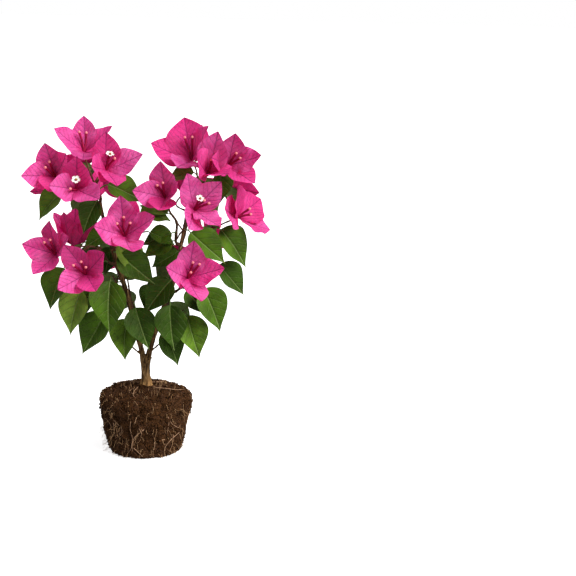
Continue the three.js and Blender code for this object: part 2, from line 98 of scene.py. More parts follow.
sprays = {
    "crown_left": spray(
        "bough_left", 1, ((-57, -21, 326), (-62, -24, 342)),
        leaves=((0.16, 262, -26, 41), (0.67, 280, 64, 48, (6.5, 0, 8.5))),
        blooms=(
            bloom(0.95, (-71, -26, 373), (-0.08, -0.5, 0.86), -5, 4,
                  flowers=((17, 34, bud), (-23, 28, bud)),
                  petals=((1, 63), (59, 67), (177, 74), (275, 52))),
            bloom(0.6, (-104, -36, 345), (-0.2, -0.93, 0.32), -7, 4, 51, 45, aim=(-0.05, -0.9, 0.4),
                  flowers=((-64, 20, bud, 25), (-16, 32, bud, 22)),
                  petals=((354, 47), (57, 37), (192, 48), (267, 57))),
            bloom(0.5, (-77, -74, 335), (-0.02, -0.92, 0.39), 12, 3, 48, 45,
                  flowers=((-8, 12, star), (-144, 20, bud)), petals=((352, 43), (118, 51), (249, 44))),
            bloom(0.8, (-45, -46, 354), (0.28, -0.86, 0.44), -6, 4, 48, 46,
                  flowers=((10, 32, star), (46, 26, bud)),
                  petals=((0, 55), (88, 58), (186, 47), (265, 47))),
            bloom(0.5, (-50, -2, 338), (0.6, 0.5, -0.25), length=36, opening=48),
        ),
        shoots=(shoot(0.5, (-88, -30, 328), (1, 240, -42, 44)),),
    ),
    "spray_left": spray(
        "bough_left", 0.62, ((-56, -24, 258), (-76, -32, 262)),
        leaves=((0.35, 262, -80, 38),),
        blooms=(
            bloom(0.95, (-104, -46, 255), (-0.5, -0.76, 0.4), 0, 4, length=42,
                  flowers=((-20, 20, bud), (16, 30, bud)),
                  petals=((1, 55), (59, 61), (184, 56), (269, 38))),
            bloom(0.8, (-87, 2, 256), (0.1, 0.1, 0.95), 50, opening=42, length=47,
                  petals=((24, 44), (85, 30), (216, 47), (300, 40))),
            bloom(0.7, (-68, -77, 238), (-0.14, -0.93, 0.34), -38, 4, 54, 44,
                  flowers=((26, 28, bud), (-22, 30, bud), (82, 14, bud)),
                  petals=((6, 61), (89, 55), (182, 51), (265, 57))),
        ),
        shoots=(shoot(0.83, (-88, -36, 242), (1, 240, -14, 53)),),
    ),
    "spray_centre": spray(
        "bough_left", 0.7, ((-36, -32, 268), (-30, -44, 270)),
        blooms=(
            bloom(0.9, (-24, -76, 282), (0.04, -0.82, 0.57), -8, 4, 52, 49,
                  flowers=((-52, 24, bud), (4, 40, bud), (52, 22, bud)),
                  petals=((3, 48), (89, 49), (181, 54), (273, 51))),
        ),
        shoots=(shoot(0.5, (-37, -36, 256), (1, 280, 44, 54)),),
    ),
    "skirt_left": spray(
        "bough_left", 0.42, ((-36, -26, 214), (-52, -32, 216)),
        shoots=(
            shoot(0.5, (-39, -44, 230), (1, 265, -6, 62)),
            shoot(0.98, (-70, -40, 216), (1, 250, -14, 54), (0.3, 240, -12, 42)),
            shoot(0.4, (-40, -26, 186), (1, 245, -20, 58)),
        ),
    ),
    "skirt_middle": spray(
        "bough_left", 0.3, ((-14, -22, 190), (-14, -34, 194)),
        leaves=((1, 272, 14, 52),),
        shoots=(shoot(0.4, (-18, -24, 178), (1, 255, -8, 50)),),
    ),
    "skirt_right": spray(
        "bough_right", 0.35, ((26, -16, 180), (29, -34, 198)),
        leaves=((1, 270, 0, 55),),
        shoots=(
            shoot(0.15, (18, -16, 160), (1, 285, 20, 46)),
            shoot(0.4, (46, -22, 182), (1, 282, 10, 54)),
        ),
    ),
    "spray_low_right": spray(
        "bough_right", 0.56, ((40, -22, 208), (44, -34, 218)),
        blooms=(
            bloom(0.95, (49, -76, 233), (0.28, -0.82, 0.5), 5, 4, 56, 47,
                  flowers=((0, 28, bud), (39, 32, bud), (-101, 10, bud)),
                  petals=((1, 51), (88, 49), (179, 60), (270, 55))),
        ),
        shoots=(
            shoot(0.8, (35, -34, 225), (1, 262, -38, 50)),
            shoot(0.4, (63, -26, 215), (1, 285, 22, 56), (0.3, 280, 36, 40)),
        ),
    ),
    "spray_inner": spray(
        "bough_right", 0.93, ((37, -18, 288), (28, -28, 304)),
        leaves=((0.25, 262, -58, 38), (0.55, 262, -66, 38), (0.8, 262, -112, 42)),
        blooms=(
            bloom(0.95, (23, -52, 323), (-0.21, -0.89, 0.41), 5, 4, 46, 45,
                  flowers=((-41, 34, bud), (-5, 30, bud)),
                  petals=((353, 56), (92, 37), (172, 43), (266, 49))),
        ),
        shoots=(shoot(0.3, (46, -42, 284), (1, 280, 42, 54)),),
    ),
    "crown_right": spray(
        "bough_right", 1, ((50, -12, 302), (62, -16, 332)),
        blooms=(
            bloom(0.95, (54, -22, 364), (-0.44, -0.45, 0.78), -28, 4, 52, 50, aim=(-0.1, -0.6, 0.75),
                  flowers=((0, 36, bud, 27), (36, 24, bud, 28)),
                  petals=((13, 56, 1.45), (94, 34), (224, 61), (307, 77, 1.1))),
            bloom(0.95, (72, -44, 350), (0.1, -0.8, 0.58), 25, 3, 38, 52,
                  leaves=((0.3, 250, -74, 34, (-4, 0, 12)),), flowers=((-9, 24, bud),),
                  petals=((356, 48), (120, 38), (250, 31))),
            bloom(0.85, (98, -27, 359), (0.22, -0.9, 0.36), 0, 4, 48, 45,
                  leaves=((0.6, 290, 2, 38, (-7, 2, 3)),), flowers=((24, 28, bud), (68, 24, bud)),
                  petals=((0, 47), (90, 47), (147, 59), (270, 48))),
            bloom(0.35, (56, -77, 313), (0.4, -0.82, 0.4), -38, 4, 62, 45, sweep=0.4,
                  flowers=((30, 22, star), (66, 14, bud), (120, 20, bud)),
                  petals=((16, 65), (82, 50), (200, 50), (263, 61))),
        ),
    ),
    "spray_right": spray(
        "bough_right", 0.8, ((58, -14, 266), (81, -18, 284)),
        leaves=((1, 292, 36, 55),),
        blooms=(
            bloom(0.9, (110, -22, 296), (0.72, 0.05, 0.3), -25, 4, 60, 45, aim=(0.75, -0.35, 0.45),
                  flowers=((60, 12, bud, 17), (200, 12, bud, 16)),
                  petals=((0, 63, 1.15), (104, 69, 1.3), (162, 74, 1.4), (318, 90, 1.3))),
        ),
        shoots=(shoot(0.4, (79, -15, 240), (1, 300, 34, 50)),),
    ),
    "back_crown_left": spray(
        "bough_left", 0.86, ((-56, 10, 306), (-66, 28, 322)), fill=12,
        blooms=(
            bloom(0.95, (-62, 36, 356)),
            bloom(0.8, (-98, 22, 326)),
            bloom(0.6, (-56, 60, 308), sweep=0.2),
        ),
    ),
    "back_left": spray(
        "bough_left", 0.5, ((-40, 12, 238), (-52, 32, 246)), fill=14,
        blooms=(bloom(0.95, (-76, 52, 258)), bloom(0.8, (-22, 62, 268))),
    ),
    "back_low": spray(
        "bough_left", 0.2, ((-14, 18, 164), (-20, 36, 194)), fill=14,
        blooms=(bloom(0.95, (-30, 74, 218)),),
    ),
    "back_crown_right": spray(
        "bough_right", 0.9, ((54, 12, 296), (64, 28, 316)), fill=12,
        blooms=(
            bloom(0.95, (62, 34, 358)),
            bloom(0.8, (98, 30, 328)),
            bloom(0.6, (46, 62, 312), aim=(0.5, 0.5, 0.9), petals=((0, 44), (120, 40), (240, 48))),
        ),
    ),
    "back_right": spray(
        "bough_right", 0.45, ((38, 16, 220), (48, 34, 236)), fill=16,
        blooms=(
            bloom(0.95, (74, 52, 258)),
            bloom(0.8, (34, 70, 244), aim=(0.62, 0.25, -0.72), petals=((0, 24), (120, 22), (240, 26))),
        ),
    ),
}


def point(values):
    return np.array(values, float)


def unit(v):
    return v / np.linalg.norm(v)


def swing(start, end, degrees):  # start, turned towards end
    return start * math.cos(math.radians(degrees)) + end * math.sin(math.radians(degrees))


def pointAlong(run, share):  # uniform Catmull-Rom, its ends held by mirrored neighbours
    last = len(run) - 1
    place = min(max(share, 0), 1) * last
    i = min(math.floor(place), last - 1)
    t = place - i
    b = run[i]
    c = run[i + 1]
    a = run[i - 1] if i > 0 else 2 * b - c
    d = run[i + 2] if i + 2 <= last else 2 * c - b
    return 0.5 * (2 * b + (c - a) * t + (2 * a - 5 * b + 4 * c - d) * t**2 + (3 * b - a - 3 * c + d) * t**3)


def jointAlong(run, share, steps):  # twigs and leaf stalks leave at the rings of the solids
    return pointAlong(run, math.floor(share * steps + 0.5) / steps)


def headingAlong(run, share):
    return unit(pointAlong(run, share + 0.02) - pointAlong(run, share - 0.02))


def runPoints(run, count):
    return np.array([pointAlong(run, i / count) for i in range(count + 1)])


def growLeaf(node, compass, lean, length, drift=(0, 0, 0)):
    lift = petiole["hang"] + petiole["hangMore"] * abs(lean)
    outward = point((math.cos(math.radians(compass)), math.sin(math.radians(compass)), 0))
    aside = point((-outward[1], outward[0], 0))
    hanging = swing(-up, outward, lift)
    heading = swing(hanging, aside, lean)
    reach = petiole["least"] + petiole["share"] * length
    out, down, rise = petiole["way"]
    base = node + unit(outward * out + heading * down + up * rise) * reach + point(drift)
    bend = node + (base - node) * petiole["bendAt"] + up * reach * petiole["rise"]
    blade = {"base": base, "heading": heading, "facing": swing(outward, up, lift), "length": length,
             "form": leafForm}
    return {"stalk": np.array((node, bend, base)), "blade": blade}


def growBloom(plan, petals, toward):  # its bracts stand round the throat like a pinwheel
    axis = unit(point(toward))
    top = unit(up - axis * (up @ axis))
    right = np.cross(top, axis)
    throat = point(plan["throat"])

    def spoke(degrees):
        return swing(top, right, degrees + plan["turn"])

    blades = []
    for turn, opening, *broad in petals:
        out = spoke(turn)
        heading = swing(axis, out, opening)
        facing = swing(-out, axis, opening)
        blades.append({"base": throat + heading * bractForm["foot"], "heading": heading, "facing": facing,
                       "length": plan["length"], "form": bractForm, "broad": broad[0] if broad else 1})
    tubes = [(unit(swing(axis, spoke(turn), lean)), *kind) for turn, lean, *kind in plan["flowers"]]
    return {"throat": throat, "axis": axis, "blades": blades, "tubes": tubes}


def stemRun(plan):  # square off the side of its limb, or on from the limb's tip
    limb = boughs[plan["limb"]]
    run = point(limb["run"])
    centre = pointAlong(run, plan["at"])
    heading = headingAlong(run, plan["at"])
    towards = point(plan["run"][0]) - centre
    seat = centre
    if plan["at"] == 1:
        way = heading
        off = stem["gap"]
    else:
        seat = centre - heading * stem["below"]
        way = unit(towards - heading * (towards @ heading))
        place = plan["at"] * 2
        i = min(int(place), 1)
        off = limb["radii"][i] + (limb["radii"][i + 1] - limb["radii"][i]) * (place - i) + stem["gap"]
    start = centre + way * off
    return np.array((start, start + way * stem["straight"], *plan["run"])), seat


def growSpray(name, plan):
    run, seat = stemRun(plan)
    grown = {"name": name, "stem": run, "seat": seat}
    for kind in ("twigs", "blooms", "solidBlooms", "leaves"):
        grown[kind] = []

    def addLeaves(carrier, steps, leaves):
        for share, *leaf in leaves:
            grown["leaves"].append(growLeaf(jointAlong(carrier, share, steps), *leaf))

    addLeaves(run, stem["steps"], plan["leaves"])
    for one in plan["blooms"]:
        start = jointAlong(run, one["at"], stem["steps"])
        throat = point(one["throat"])
        sweep = twig["sweep"] * one["sweep"] * np.linalg.norm(throat - start)
        bend = throat - unit(point(one["toward"])) * sweep
        bend = bend + (start - bend) * twig["easing"]
        grown["twigs"].append(np.array((start, bend, throat)))
        evenly = [(360 / one["bracts"] * k, one["opening"]) for k in range(one["bracts"])]
        grown["solidBlooms"].append(growBloom(one, evenly, one["toward"]))
        grown["blooms"].append(growBloom(one, one["petals"] or evenly, one["aim"] or one["toward"]))
        addLeaves(grown["twigs"][-1], twig["steps"], one["leaves"])
    for one in plan["shoots"]:
        start = jointAlong(run, one["at"], stem["steps"])
        end = point(one["to"])
        grown["twigs"].append(np.array((start, (start + end) / 2 + up * twig["rise"], end)))
        addLeaves(grown["twigs"][-1], twig["steps"], one["leaves"])
    return grown


def outline(t, rise, fall):  # half the width of a blade along it, 1 where it is widest
    peak = rise / (rise + fall)
    return t**rise * (1 - t) ** fall / (peak**rise * (1 - peak) ** fall)


def bladeAxes(blade):
    along = unit(blade["heading"])
    flat = unit(blade["facing"] - along * (blade["facing"] @ along))
    normal = swing(flat, np.cross(flat, along), blade["form"]["roll"])
    return along, np.cross(normal, along), normal


def bladeSamples(blade):
    along, across, normal = bladeAxes(blade)
    form = blade["form"]
    length = blade["length"]
    samples = []
    for t in filling["rows"]:
        half = 0.5 * form["width"] * length * outline(t, form["rise"], form["fall"])
        for side in (-filling["side"], 0, filling["side"]):
            height = form["fold"] * half * abs(side) - form["arch"] * length * t * t
            samples.append(blade["base"] + along * t * length + across * side * half + normal * height)
    return np.array(samples)


class Draws:  # the seeded numbers that the filling leaves are tried by
    def __init__(self, seed):
        self.state = seed

    def next(self):
        self.state = (self.state * 1664525 + 1013904223) & 0xFFFFFFFF
        return self.state / 2**32


def fillLeaves(grown, tries, taken, draws):
    for _ in range(tries):
        onTwig = math.floor(draws.next() * (len(grown["twigs"]) + 1)) - 1
        onStem = onTwig < 0
        carrier = grown["stem"] if onStem else grown["twigs"][onTwig]
        steps = stem["steps"] if onStem else twig["steps"]
        first, span = filling["stem"] if onStem else filling["twig"]
        node = jointAlong(carrier, first + span * draws.next(), steps)
        outward = math.degrees(math.atan2(node[1], node[0]))
        compass = outward + filling["fan"] * (draws.next() - 0.5)
        lean = filling["lean"] * (draws.next() - 0.5)
        least, longer = filling["length"]
        leaf = growLeaf(node, compass, lean, least + longer * draws.next())
        samples = bladeSamples(leaf["blade"])
        inFork = (samples[:, 2] < filling["height"]) & (abs(samples[:, 0]) < filling["halfWidth"])
        clear = not (inFork | (samples[:, 2] < filling["lowest"])).any()
        for owner, isBlade, points in taken:
            if not clear:
                break
            if owner == grown["name"] and not isBlade:
                continue
            near = filling["within"] if owner == grown["name"] else filling["apart"]
            away = np.linalg.norm(samples[:, None] - points[None], axis=2)
            clear = not (away <= near).any()
        if clear:
            grown["leaves"].append(leaf)
            taken.append((grown["name"], True, samples))


plant = [growSpray(name, plan) for name, plan in sprays.items()]
taken = [("limbs", False, runPoints(point(one["run"]), 40)) for one in (trunk, *boughs.values())]
for one in plant:
    for run in (one["stem"], *one["twigs"]):
        taken.append((one["name"], False, runPoints(run, 8)))
    solidBlades = [blade for head in one["solidBlooms"] for blade in head["blades"]]
    for blade in solidBlades + [leaf["blade"] for leaf in one["leaves"]]:
        taken.append((one["name"], True, bladeSamples(blade)))
draws = Draws(filling["seed"])
for one in plant:
    fillLeaves(one, sprays[one["name"]]["fill"], taken, draws)

# Finer leaves than the solids hold, on twigs of their own inside the same reach. Each is the limb or spray
# that bears it, the share along it, the end of its twig, and the leaf there.
fineLeaves = (
    ("spray_centre", 0.9, (-14, -26, 299), (285, 84, 40)),
    ("spray_centre", 0.9, (-1, -18, 277), (285, 64, 34)),
    ("spray_centre", 0.5, (-40, -30, 266), (290, 42, 50)),
    ("bough_right", 0.74, (45, 2, 252), (262, -52, 38)),
    ("bough_right", 0.42, (10, 2, 212), (262, -20, 32)),
    ("bough_right", 0.5, (34, -14, 200), (268, -66, 30)),
    ("bough_left", 0.48, (-35, 4, 216), (280, 96, 24)),
    ("bough_left", 0.8, (-38, -9, 274), (258, -62, 36)),
    ("bough_left", 0.66, (-37, 2, 258), (262, -18, 34)),
)
innerShoot = ((45, -9, 277), (37, -15, 289), (30, -24, 300), (27, -34, 311))  # beside the inner spray
byName = {one["name"]: one for one in plant}
fineTwigs = []
for bearer, share, end, leaf in fineLeaves:
    if bearer in boughs:
        start = pointAlong(point(boughs[bearer]["run"]), share)
        owner = next(one for one in plant if sprays[one["name"]]["limb"] == bearer)
    else:
        owner = byName[bearer]
        start = pointAlong(owner["stem"], share)
    fineTwigs.append(np.array((start, (start + point(end)) / 2 + up * twig["rise"], end)))
    owner["leaves"].append(growLeaf(point(end), *leaf))
fineTwigs.append(point(innerShoot))
print("plant grown:", sum(len(one["leaves"]) for one in plant), "leaves,",
      sum(len(one["blooms"]) for one in plant), "blooms")


class Wire:  # an output in a material's tree, so that shader maths reads as maths
    def __init__(self, finish, socket):
        self.finish = finish
        self.socket = socket

    def math(self, operation, *others):
        return self.finish.add("ShaderNodeMath", {"operation": operation}, dict(enumerate((self, *others))))

    def __add__(self, other):
        return self.math("ADD", other)

    def __radd__(self, other):
        return self.math("ADD", other)

    def __sub__(self, other):
        return self.math("SUBTRACT", other)

    def __rsub__(self, other):
        return self.finish.add("ShaderNodeMath", {"operation": "SUBTRACT"}, {0: other, 1: self})

    def __mul__(self, other):
        return self.math("MULTIPLY", other)

    def __rmul__(self, other):
        return self.math("MULTIPLY", other)

    def __truediv__(self, other):
        return self.math("DIVIDE", other)

    def __abs__(self):
        return self.math("ABSOLUTE")

    def between(self, low, high):  # 0 at low and below, 1 at high and above, smooth between
        return self.finish.add("ShaderNodeMapRange", {"interpolation_type": "SMOOTHSTEP"},
                               {"Value": self, "From Min": low, "From Max": high})


class Finish:  # one material, or the light of a world
    def __init__(self, name, world=None):
        self.material = world or bpy.data.materials.new(name)
        self.material.use_nodes = True
        self.tree = self.material.node_tree
        self.tree.nodes.clear()

    def add(self, kind, settings=None, values=None, out=0):
        node = self.tree.nodes.new(kind)
        for key, value in (settings or {}).items():
            setattr(node, key, value)
        for key, value in (values or {}).items():
            if isinstance(value, Wire):
                self.tree.links.new(value.socket, node.inputs[key])
            else:
                node.inputs[key].default_value = value
        return Wire(self, node.outputs[out]) if len(node.outputs) else None

    def mix(self, share, a, b):  # of two colours
        a = (*a, 1) if isinstance(a, tuple) else a
        b = (*b, 1) if isinstance(b, tuple) else b
        return self.add("ShaderNodeMix", {"data_type": "RGBA"}, {0: share, 6: a, 7: b}, 2)

    def place(self, scale):  # where a point is, in lengths of 1 / scale metres
        at = self.add("ShaderNodeTexCoord", out="Object")
        return self.add("ShaderNodeVectorMath", {"operation": "MULTIPLY"}, {0: at, 1: scale})

    def noise(self, at, scale, detail=3, distortion=0):
        values = {"Vector": at, "Scale": scale, "Detail": detail, "Distortion": distortion}
        return self.add("ShaderNodeTexNoise", {}, values)

    def bump(self, height, strength, distance):
        values = {"Height": height, "Strength": strength, "Distance": distance}
        return self.add("ShaderNodeBump", {}, values)

    def close(self, values, through=None, share=0):  # the shader, with a share of light let through
        surface = self.add("ShaderNodeBsdfPrincipled", {}, values)
        if through:
            glow = self.add("ShaderNodeBsdfTranslucent", {}, {"Color": (*through, 1)})
            surface = self.add("ShaderNodeMixShader", {}, {0: share, 1: surface, 2: glow})
        self.add("ShaderNodeOutputMaterial", {}, {"Surface": surface})
        return self.material


class Bag:  # what one joined piece is made of, until it becomes a mesh
    def __init__(self):
        self.points = []
        self.corners = []
        self.sizes = []
        self.slots = []
        self.maps = {}
        self.count = 0

    def add(self, points, faces, slots, **maps):  # faces is a list of arrays, slots a slot for each
        self.points.append(points)
        for part, slot in zip(faces, slots):
            self.corners.append((part + self.count).ravel())
            self.sizes.append(np.full(len(part), part.shape[1]))
            self.slots.append(np.full(len(part), slot))
        for name, uv in maps.items():
            self.maps.setdefault(name, []).append(uv)
        self.count += len(points)

    def limb(self, points, radii, sides, slot=0):  # a tube whose radii are spread evenly over its points
        verts, faces = tube(points, taper(radii, len(points)), sides)
        self.add(verts, faces, [slot] * 3)

    def mesh(self, name, scale=mm):
        mesh = bpy.data.meshes.new(name)
        corners = np.concatenate(self.corners)
        sizes = np.concatenate(self.sizes)
        mesh.vertices.add(self.count)
        mesh.vertices.foreach_set("co", (np.concatenate(self.points) * scale).ravel())
        mesh.loops.add(len(corners))
        mesh.loops.foreach_set("vertex_index", corners)
        mesh.polygons.add(len(sizes))
        mesh.polygons.foreach_set("loop_start", np.cumsum(sizes) - sizes)
        mesh.polygons.foreach_set("loop_total", sizes)
        mesh.polygons.foreach_set("material_index", np.concatenate(self.slots))
        for label, uv in self.maps.items():
            layer = mesh.uv_layers.new(name=label)
            layer.data.foreach_set("uv", np.concatenate(uv)[corners].ravel())
        mesh.update(calc_edges=True)
        return mesh

    def piece(self, name, finishes, slot, nodes=(), sharp=180):
        mesh = self.mesh(name)
        mesh.shade_smooth()
        if sharp < 180:
            mesh.set_sharp_from_angle(angle=math.radians(sharp))
        for finish in finishes:
            mesh.materials.append(finish)
        made = bpy.data.objects.new(name, mesh)
        bpy.context.scene.collection.objects.link(made)
        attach(made, "root")
        if nodes:
            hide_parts(*nodes)
        print(" ", name, sum(len(polygon.vertices) - 2 for polygon in mesh.polygons), "triangles")
        return made


def gridFaces(rows, columns, closed=False):  # of a grid whose rows run one way and columns the other
    i, j = np.meshgrid(np.arange(rows - 1), np.arange(columns if closed else columns - 1), indexing="ij")
    i = i.ravel()
    j = j.ravel()
    following = (j + 1) % columns
    return np.stack((i * columns + j, i * columns + following, (i + 1) * columns + following,
                     (i + 1) * columns + j), axis=1)


def tube(points, radii, sides):  # a round limb along points, its ends capped
    count = len(points)
    headings = np.gradient(points, axis=0)
    headings = headings / np.linalg.norm(headings, axis=1)[:, None]
    aslant = (0.31, 0.17, 0.93) if abs(headings[0][2]) < 0.9 else (1, 0.2, 0)  # never along the limb
    sideways = unit(np.cross(headings[0], aslant))
    angles = np.arange(sides) * math.tau / sides
    rings = []
    for centre, heading, radius in zip(points, headings, radii):
        sideways = unit(sideways - heading * (sideways @ heading))
        forward = np.cross(heading, sideways)
        way = np.cos(angles)[:, None] * sideways + np.sin(angles)[:, None] * forward
        rings.append(centre + radius * way)
    start = np.arange(sides)[::-1][None]
    end = (np.arange(sides) + (count - 1) * sides)[None]
    return np.concatenate(rings), [gridFaces(count, sides, True), start, end]


def taper(radii, count):  # radii spread evenly over count points
    return np.interp(np.linspace(0, 1, count), np.linspace(0, 1, len(radii)), radii)


def atlasCell(index, total, u, v):  # the place of a blade in its cell of the OFBake map
    across = math.ceil(math.sqrt(total))
    margin = 0.03
    column = index % across + margin
    row = index // across + margin
    within = 1 - 2 * margin
    return np.stack(((column + within * u) / across, (row + within * v) / across), axis=-1)


veins = {"slope": 0.75, "curve": 1.5, "offset": 0.06}  # of the side veins, in lengths of the blade


def veinCourse(t, aside, pairs):  # counts the side veins along a blade; a whole number and a half is a vein
    back = veins["slope"] * abs(aside) + veins["curve"] * aside**2
    return (t - back + veins["offset"] * np.sign(aside)) / pairs


bladeDetail = {  # shared by leaves and bracts
    "leastHalf": 0.15, "wave": 6.283, "phases": (0, 6.28), "lag": (1.5, 4.5), "frill": 2.2, "calmFoot": 4,
    "calmTip": 3, "curlFrom": 0.62, "curlBend": 6, "dipTip": 5, "dipMiddle": 3, "ribHalf": 1.1,
    "ribFade": 0.7,
}


def bladeParts(blade, look, chance):  # a thin closed blade: its points, faces and both maps
    along, across, normal = bladeAxes(blade)
    form = blade["form"]
    detail = bladeDetail
    length = blade["length"]
    t = np.linspace(0, 1, look["rows"])[:, None]
    side = np.array(look["columns"])[None]
    half = 0.5 * form["width"] * look["broad"] * length * outline(t, look["rise"], look["fall"])
    half = half * blade.get("broad", 1)
    sharpen, power = look["tip"]
    half = np.maximum(half * (1 - sharpen * t**power), look["footHalf"] * (1 - t) + detail["leastHalf"])
    aside = side * half
    rise = look["fold"] * half * ((1 + look["keel"]) * abs(side) - look["keel"] * side**2)
    rise = rise - form["arch"] * length * t**2
    waves = chance.uniform(*look["waves"])
    depth = chance.uniform(*look["waveDepth"]) * length
    phase = chance.uniform(*detail["phases"])
    lag = chance.uniform(*detail["lag"])
    ripple = np.sin(detail["wave"] * waves * t + phase + lag * (side > 0)) * abs(side) ** detail["frill"]
    calm = np.minimum(1, detail["calmFoot"] * t) * np.minimum(1, detail["calmTip"] * (1 - t))
    rise = rise + depth * ripple * calm
    beyond = np.clip(t - detail["curlFrom"], 0, 1)
    rise = rise + chance.uniform(*look["curl"]) * length * beyond**2 * detail["curlBend"]
    course = veinCourse(t, aside / length, look["pairs"]) % 1
    dip = 1 - np.sin(math.pi * abs(course - 0.5))
    dip = dip * np.minimum(1, detail["dipTip"] * (1 - t)) * np.minimum(1, detail["dipMiddle"] * abs(side))
    rise = rise - look["quilt"] * dip * (1 - abs(side) ** 3)
    bend = chance.uniform(-1, 1) * look["sickle"] * length
    middle = aside + bend * t**2
    surface = blade["base"] + along * (t * length)[..., None] + across * middle[..., None]
    surface = surface + normal * rise[..., None]
    thick = look["edge"] + (look["thick"] - look["edge"]) * (1 - side**2) * np.ones_like(t)
    rib = look["rib"] * np.exp(-((aside / detail["ribHalf"]) ** 2)) * (1 - t) ** detail["ribFade"]
    topside = surface + normal * (thick / 2)[..., None]
    underside = surface - normal * (thick / 2 + rib)[..., None]
    rows = look["rows"]
    columns = side.size
    count = rows * columns
    number = np.arange(count).reshape(rows, columns)
    grid = gridFaces(rows, columns)
    rims = []
    for edge, flip in ((number[:, 0], 1), (number[:, -1], 0), (number[0], 0), (number[-1], 1)):
        a = edge[:-1]
        b = edge[1:]
        quad = np.stack((a, b, b + count, a + count), axis=1)
        rims.append(quad[:, ::-1] if flip else quad)
    u = np.broadcast_to(side * 0.5 + 0.5, (rows, columns)).ravel()
    v = np.broadcast_to(t, (rows, columns)).ravel()
    local = np.stack((0.5 + (aside / length).ravel(), v), axis=-1)
    return {
        "points": np.concatenate((topside.reshape(-1, 3), underside.reshape(-1, 3))),
        "top": grid[:, ::-1], "under": grid + count, "rim": np.concatenate(rims),
        "u": np.concatenate((u * 0.49, 0.51 + u * 0.49)), "v": np.concatenate((v, v)),
        "local": np.concatenate((local, local)),
    }


def joinBlades(chosen, look, seed, deal):  # deal gives the slots of a blade's top, underside and rim
    bag = Bag()
    chance = random.Random(seed)
    for index, blade in enumerate(chosen):
        parts = bladeParts(blade, look, chance)
        top, under, rim = deal(blade, chance)
        atlas = atlasCell(index, len(chosen), parts["u"], parts["v"])
        bag.add(parts["points"], [parts["top"], parts["under"], parts["rim"]], [top, under, rim],
                OFBake=atlas, blade=parts["local"])
    return bag


# Leaves: pointed, folded on a pale midrib, glossier above than below.
leafLook = {
    "rows": 38,
    "columns": (-1, -0.95, -0.82, -0.62, -0.4, -0.2, -0.07, 0, 0.07, 0.2, 0.4, 0.62, 0.82, 0.95, 1),
    "broad": 1.10, "rise": 0.60, "fall": 0.98, "tip": (0.76, 3.4), "footHalf": 0.7, "fold": 0.52,
    "keel": 0.4, "waves": (1.3, 2.4), "waveDepth": (0.008, 0.026), "curl": (-0.07, 0.03), "quilt": 0.9,
    "pairs": 0.19, "sickle": 0.12, "thick": 0.5, "edge": 0.2, "rib": 0.6, "seed": 5,
    "greens": {
        "deep": (0.024, 0.062, 0.001), "middle": (0.050, 0.114, 0.003), "fresh": (0.096, 0.184, 0.010),
        "young": (0.160, 0.260, 0.028),
    },
    "under": (0.105, 0.160, 0.045), "vein": (0.240, 0.340, 0.100), "glow": (0.130, 0.260, 0.010),
    "share": 0.16, "roughness": 0.34, "underRoughness": 0.62, "midribHalf": 0.024, "veinHalf": 0.016,
    "netShow": 0.06, "veinShow": 0.24, "midribShow": 0.66, "netScale": 30, "netHalf": (0.02, 0.15),
    "sheen": (0.78, 1.0, 0.50, 1),
}


def bladeVeins(finish, look):  # how far along a blade a point is, and masks of its net and veins
    at = finish.add("ShaderNodeUVMap", {"uv_map": "blade"})
    u = finish.add("ShaderNodeSeparateXYZ", {}, {0: at}, 0)
    v = finish.add("ShaderNodeSeparateXYZ", {}, {0: at}, 1)
    aside = abs(u - 0.5)
    midrib = 1 - aside.between(look["midribHalf"] * 0.3, look["midribHalf"])
    course = v - veins["slope"] * aside - veins["curve"] * aside * aside
    course = course + veins["offset"] * (u - 0.5).math("SIGN")
    away = abs((course / look["pairs"]).math("FLOORED_MODULO", 1) - 0.5) * look["pairs"]
    sideVeins = 1 - away.between(look["veinHalf"] * 0.25, look["veinHalf"])
    edges = {"Vector": at, "Scale": look["netScale"]}
    cells = finish.add("ShaderNodeTexVoronoi", {"feature": "DISTANCE_TO_EDGE"}, edges)
    return v, 1 - cells.between(*look["netHalf"]), sideVeins, midrib


def tinted(finish, colour, masks, look):  # veins of three ranks, drawn over a colour
    for mask, show in zip(masks, ("netShow", "veinShow", "midribShow")):
        colour = finish.mix(mask * look[show], colour, look["vein"])
    return colour


def leafFinish(name, base, look, isUnder=False):
    finish = Finish(name)
    _, net, sideVeins, midrib = bladeVeins(finish, look)
    mottle = finish.noise(finish.place((60, 60, 60)), 1, 4)
    darker = tuple(c * 0.7 for c in base)
    lighter = tuple(min(1, c * 1.35) for c in base)
    colour = finish.mix(mottle.between(0.32, 0.68), darker, lighter)
    colour = tinted(finish, colour, (net, sideVeins, midrib), look)
    relief = net * 0.2 + sideVeins * 1.1 + midrib * 1.2
    height = relief if isUnder else 0 - relief
    fine = finish.noise(finish.place((900, 900, 900)), 1, 2)
    values = {
        "Base Color": colour, "Roughness": look["underRoughness" if isUnder else "roughness"] + 0.16 * mottle,
        "Normal": finish.bump(height + 0.2 * fine, 0.8, 0.0010), "Specular IOR Level": 0.32,
        "Specular Tint": look["sheen"],
    }
    return finish.close(values, look["glow"], look["share"])
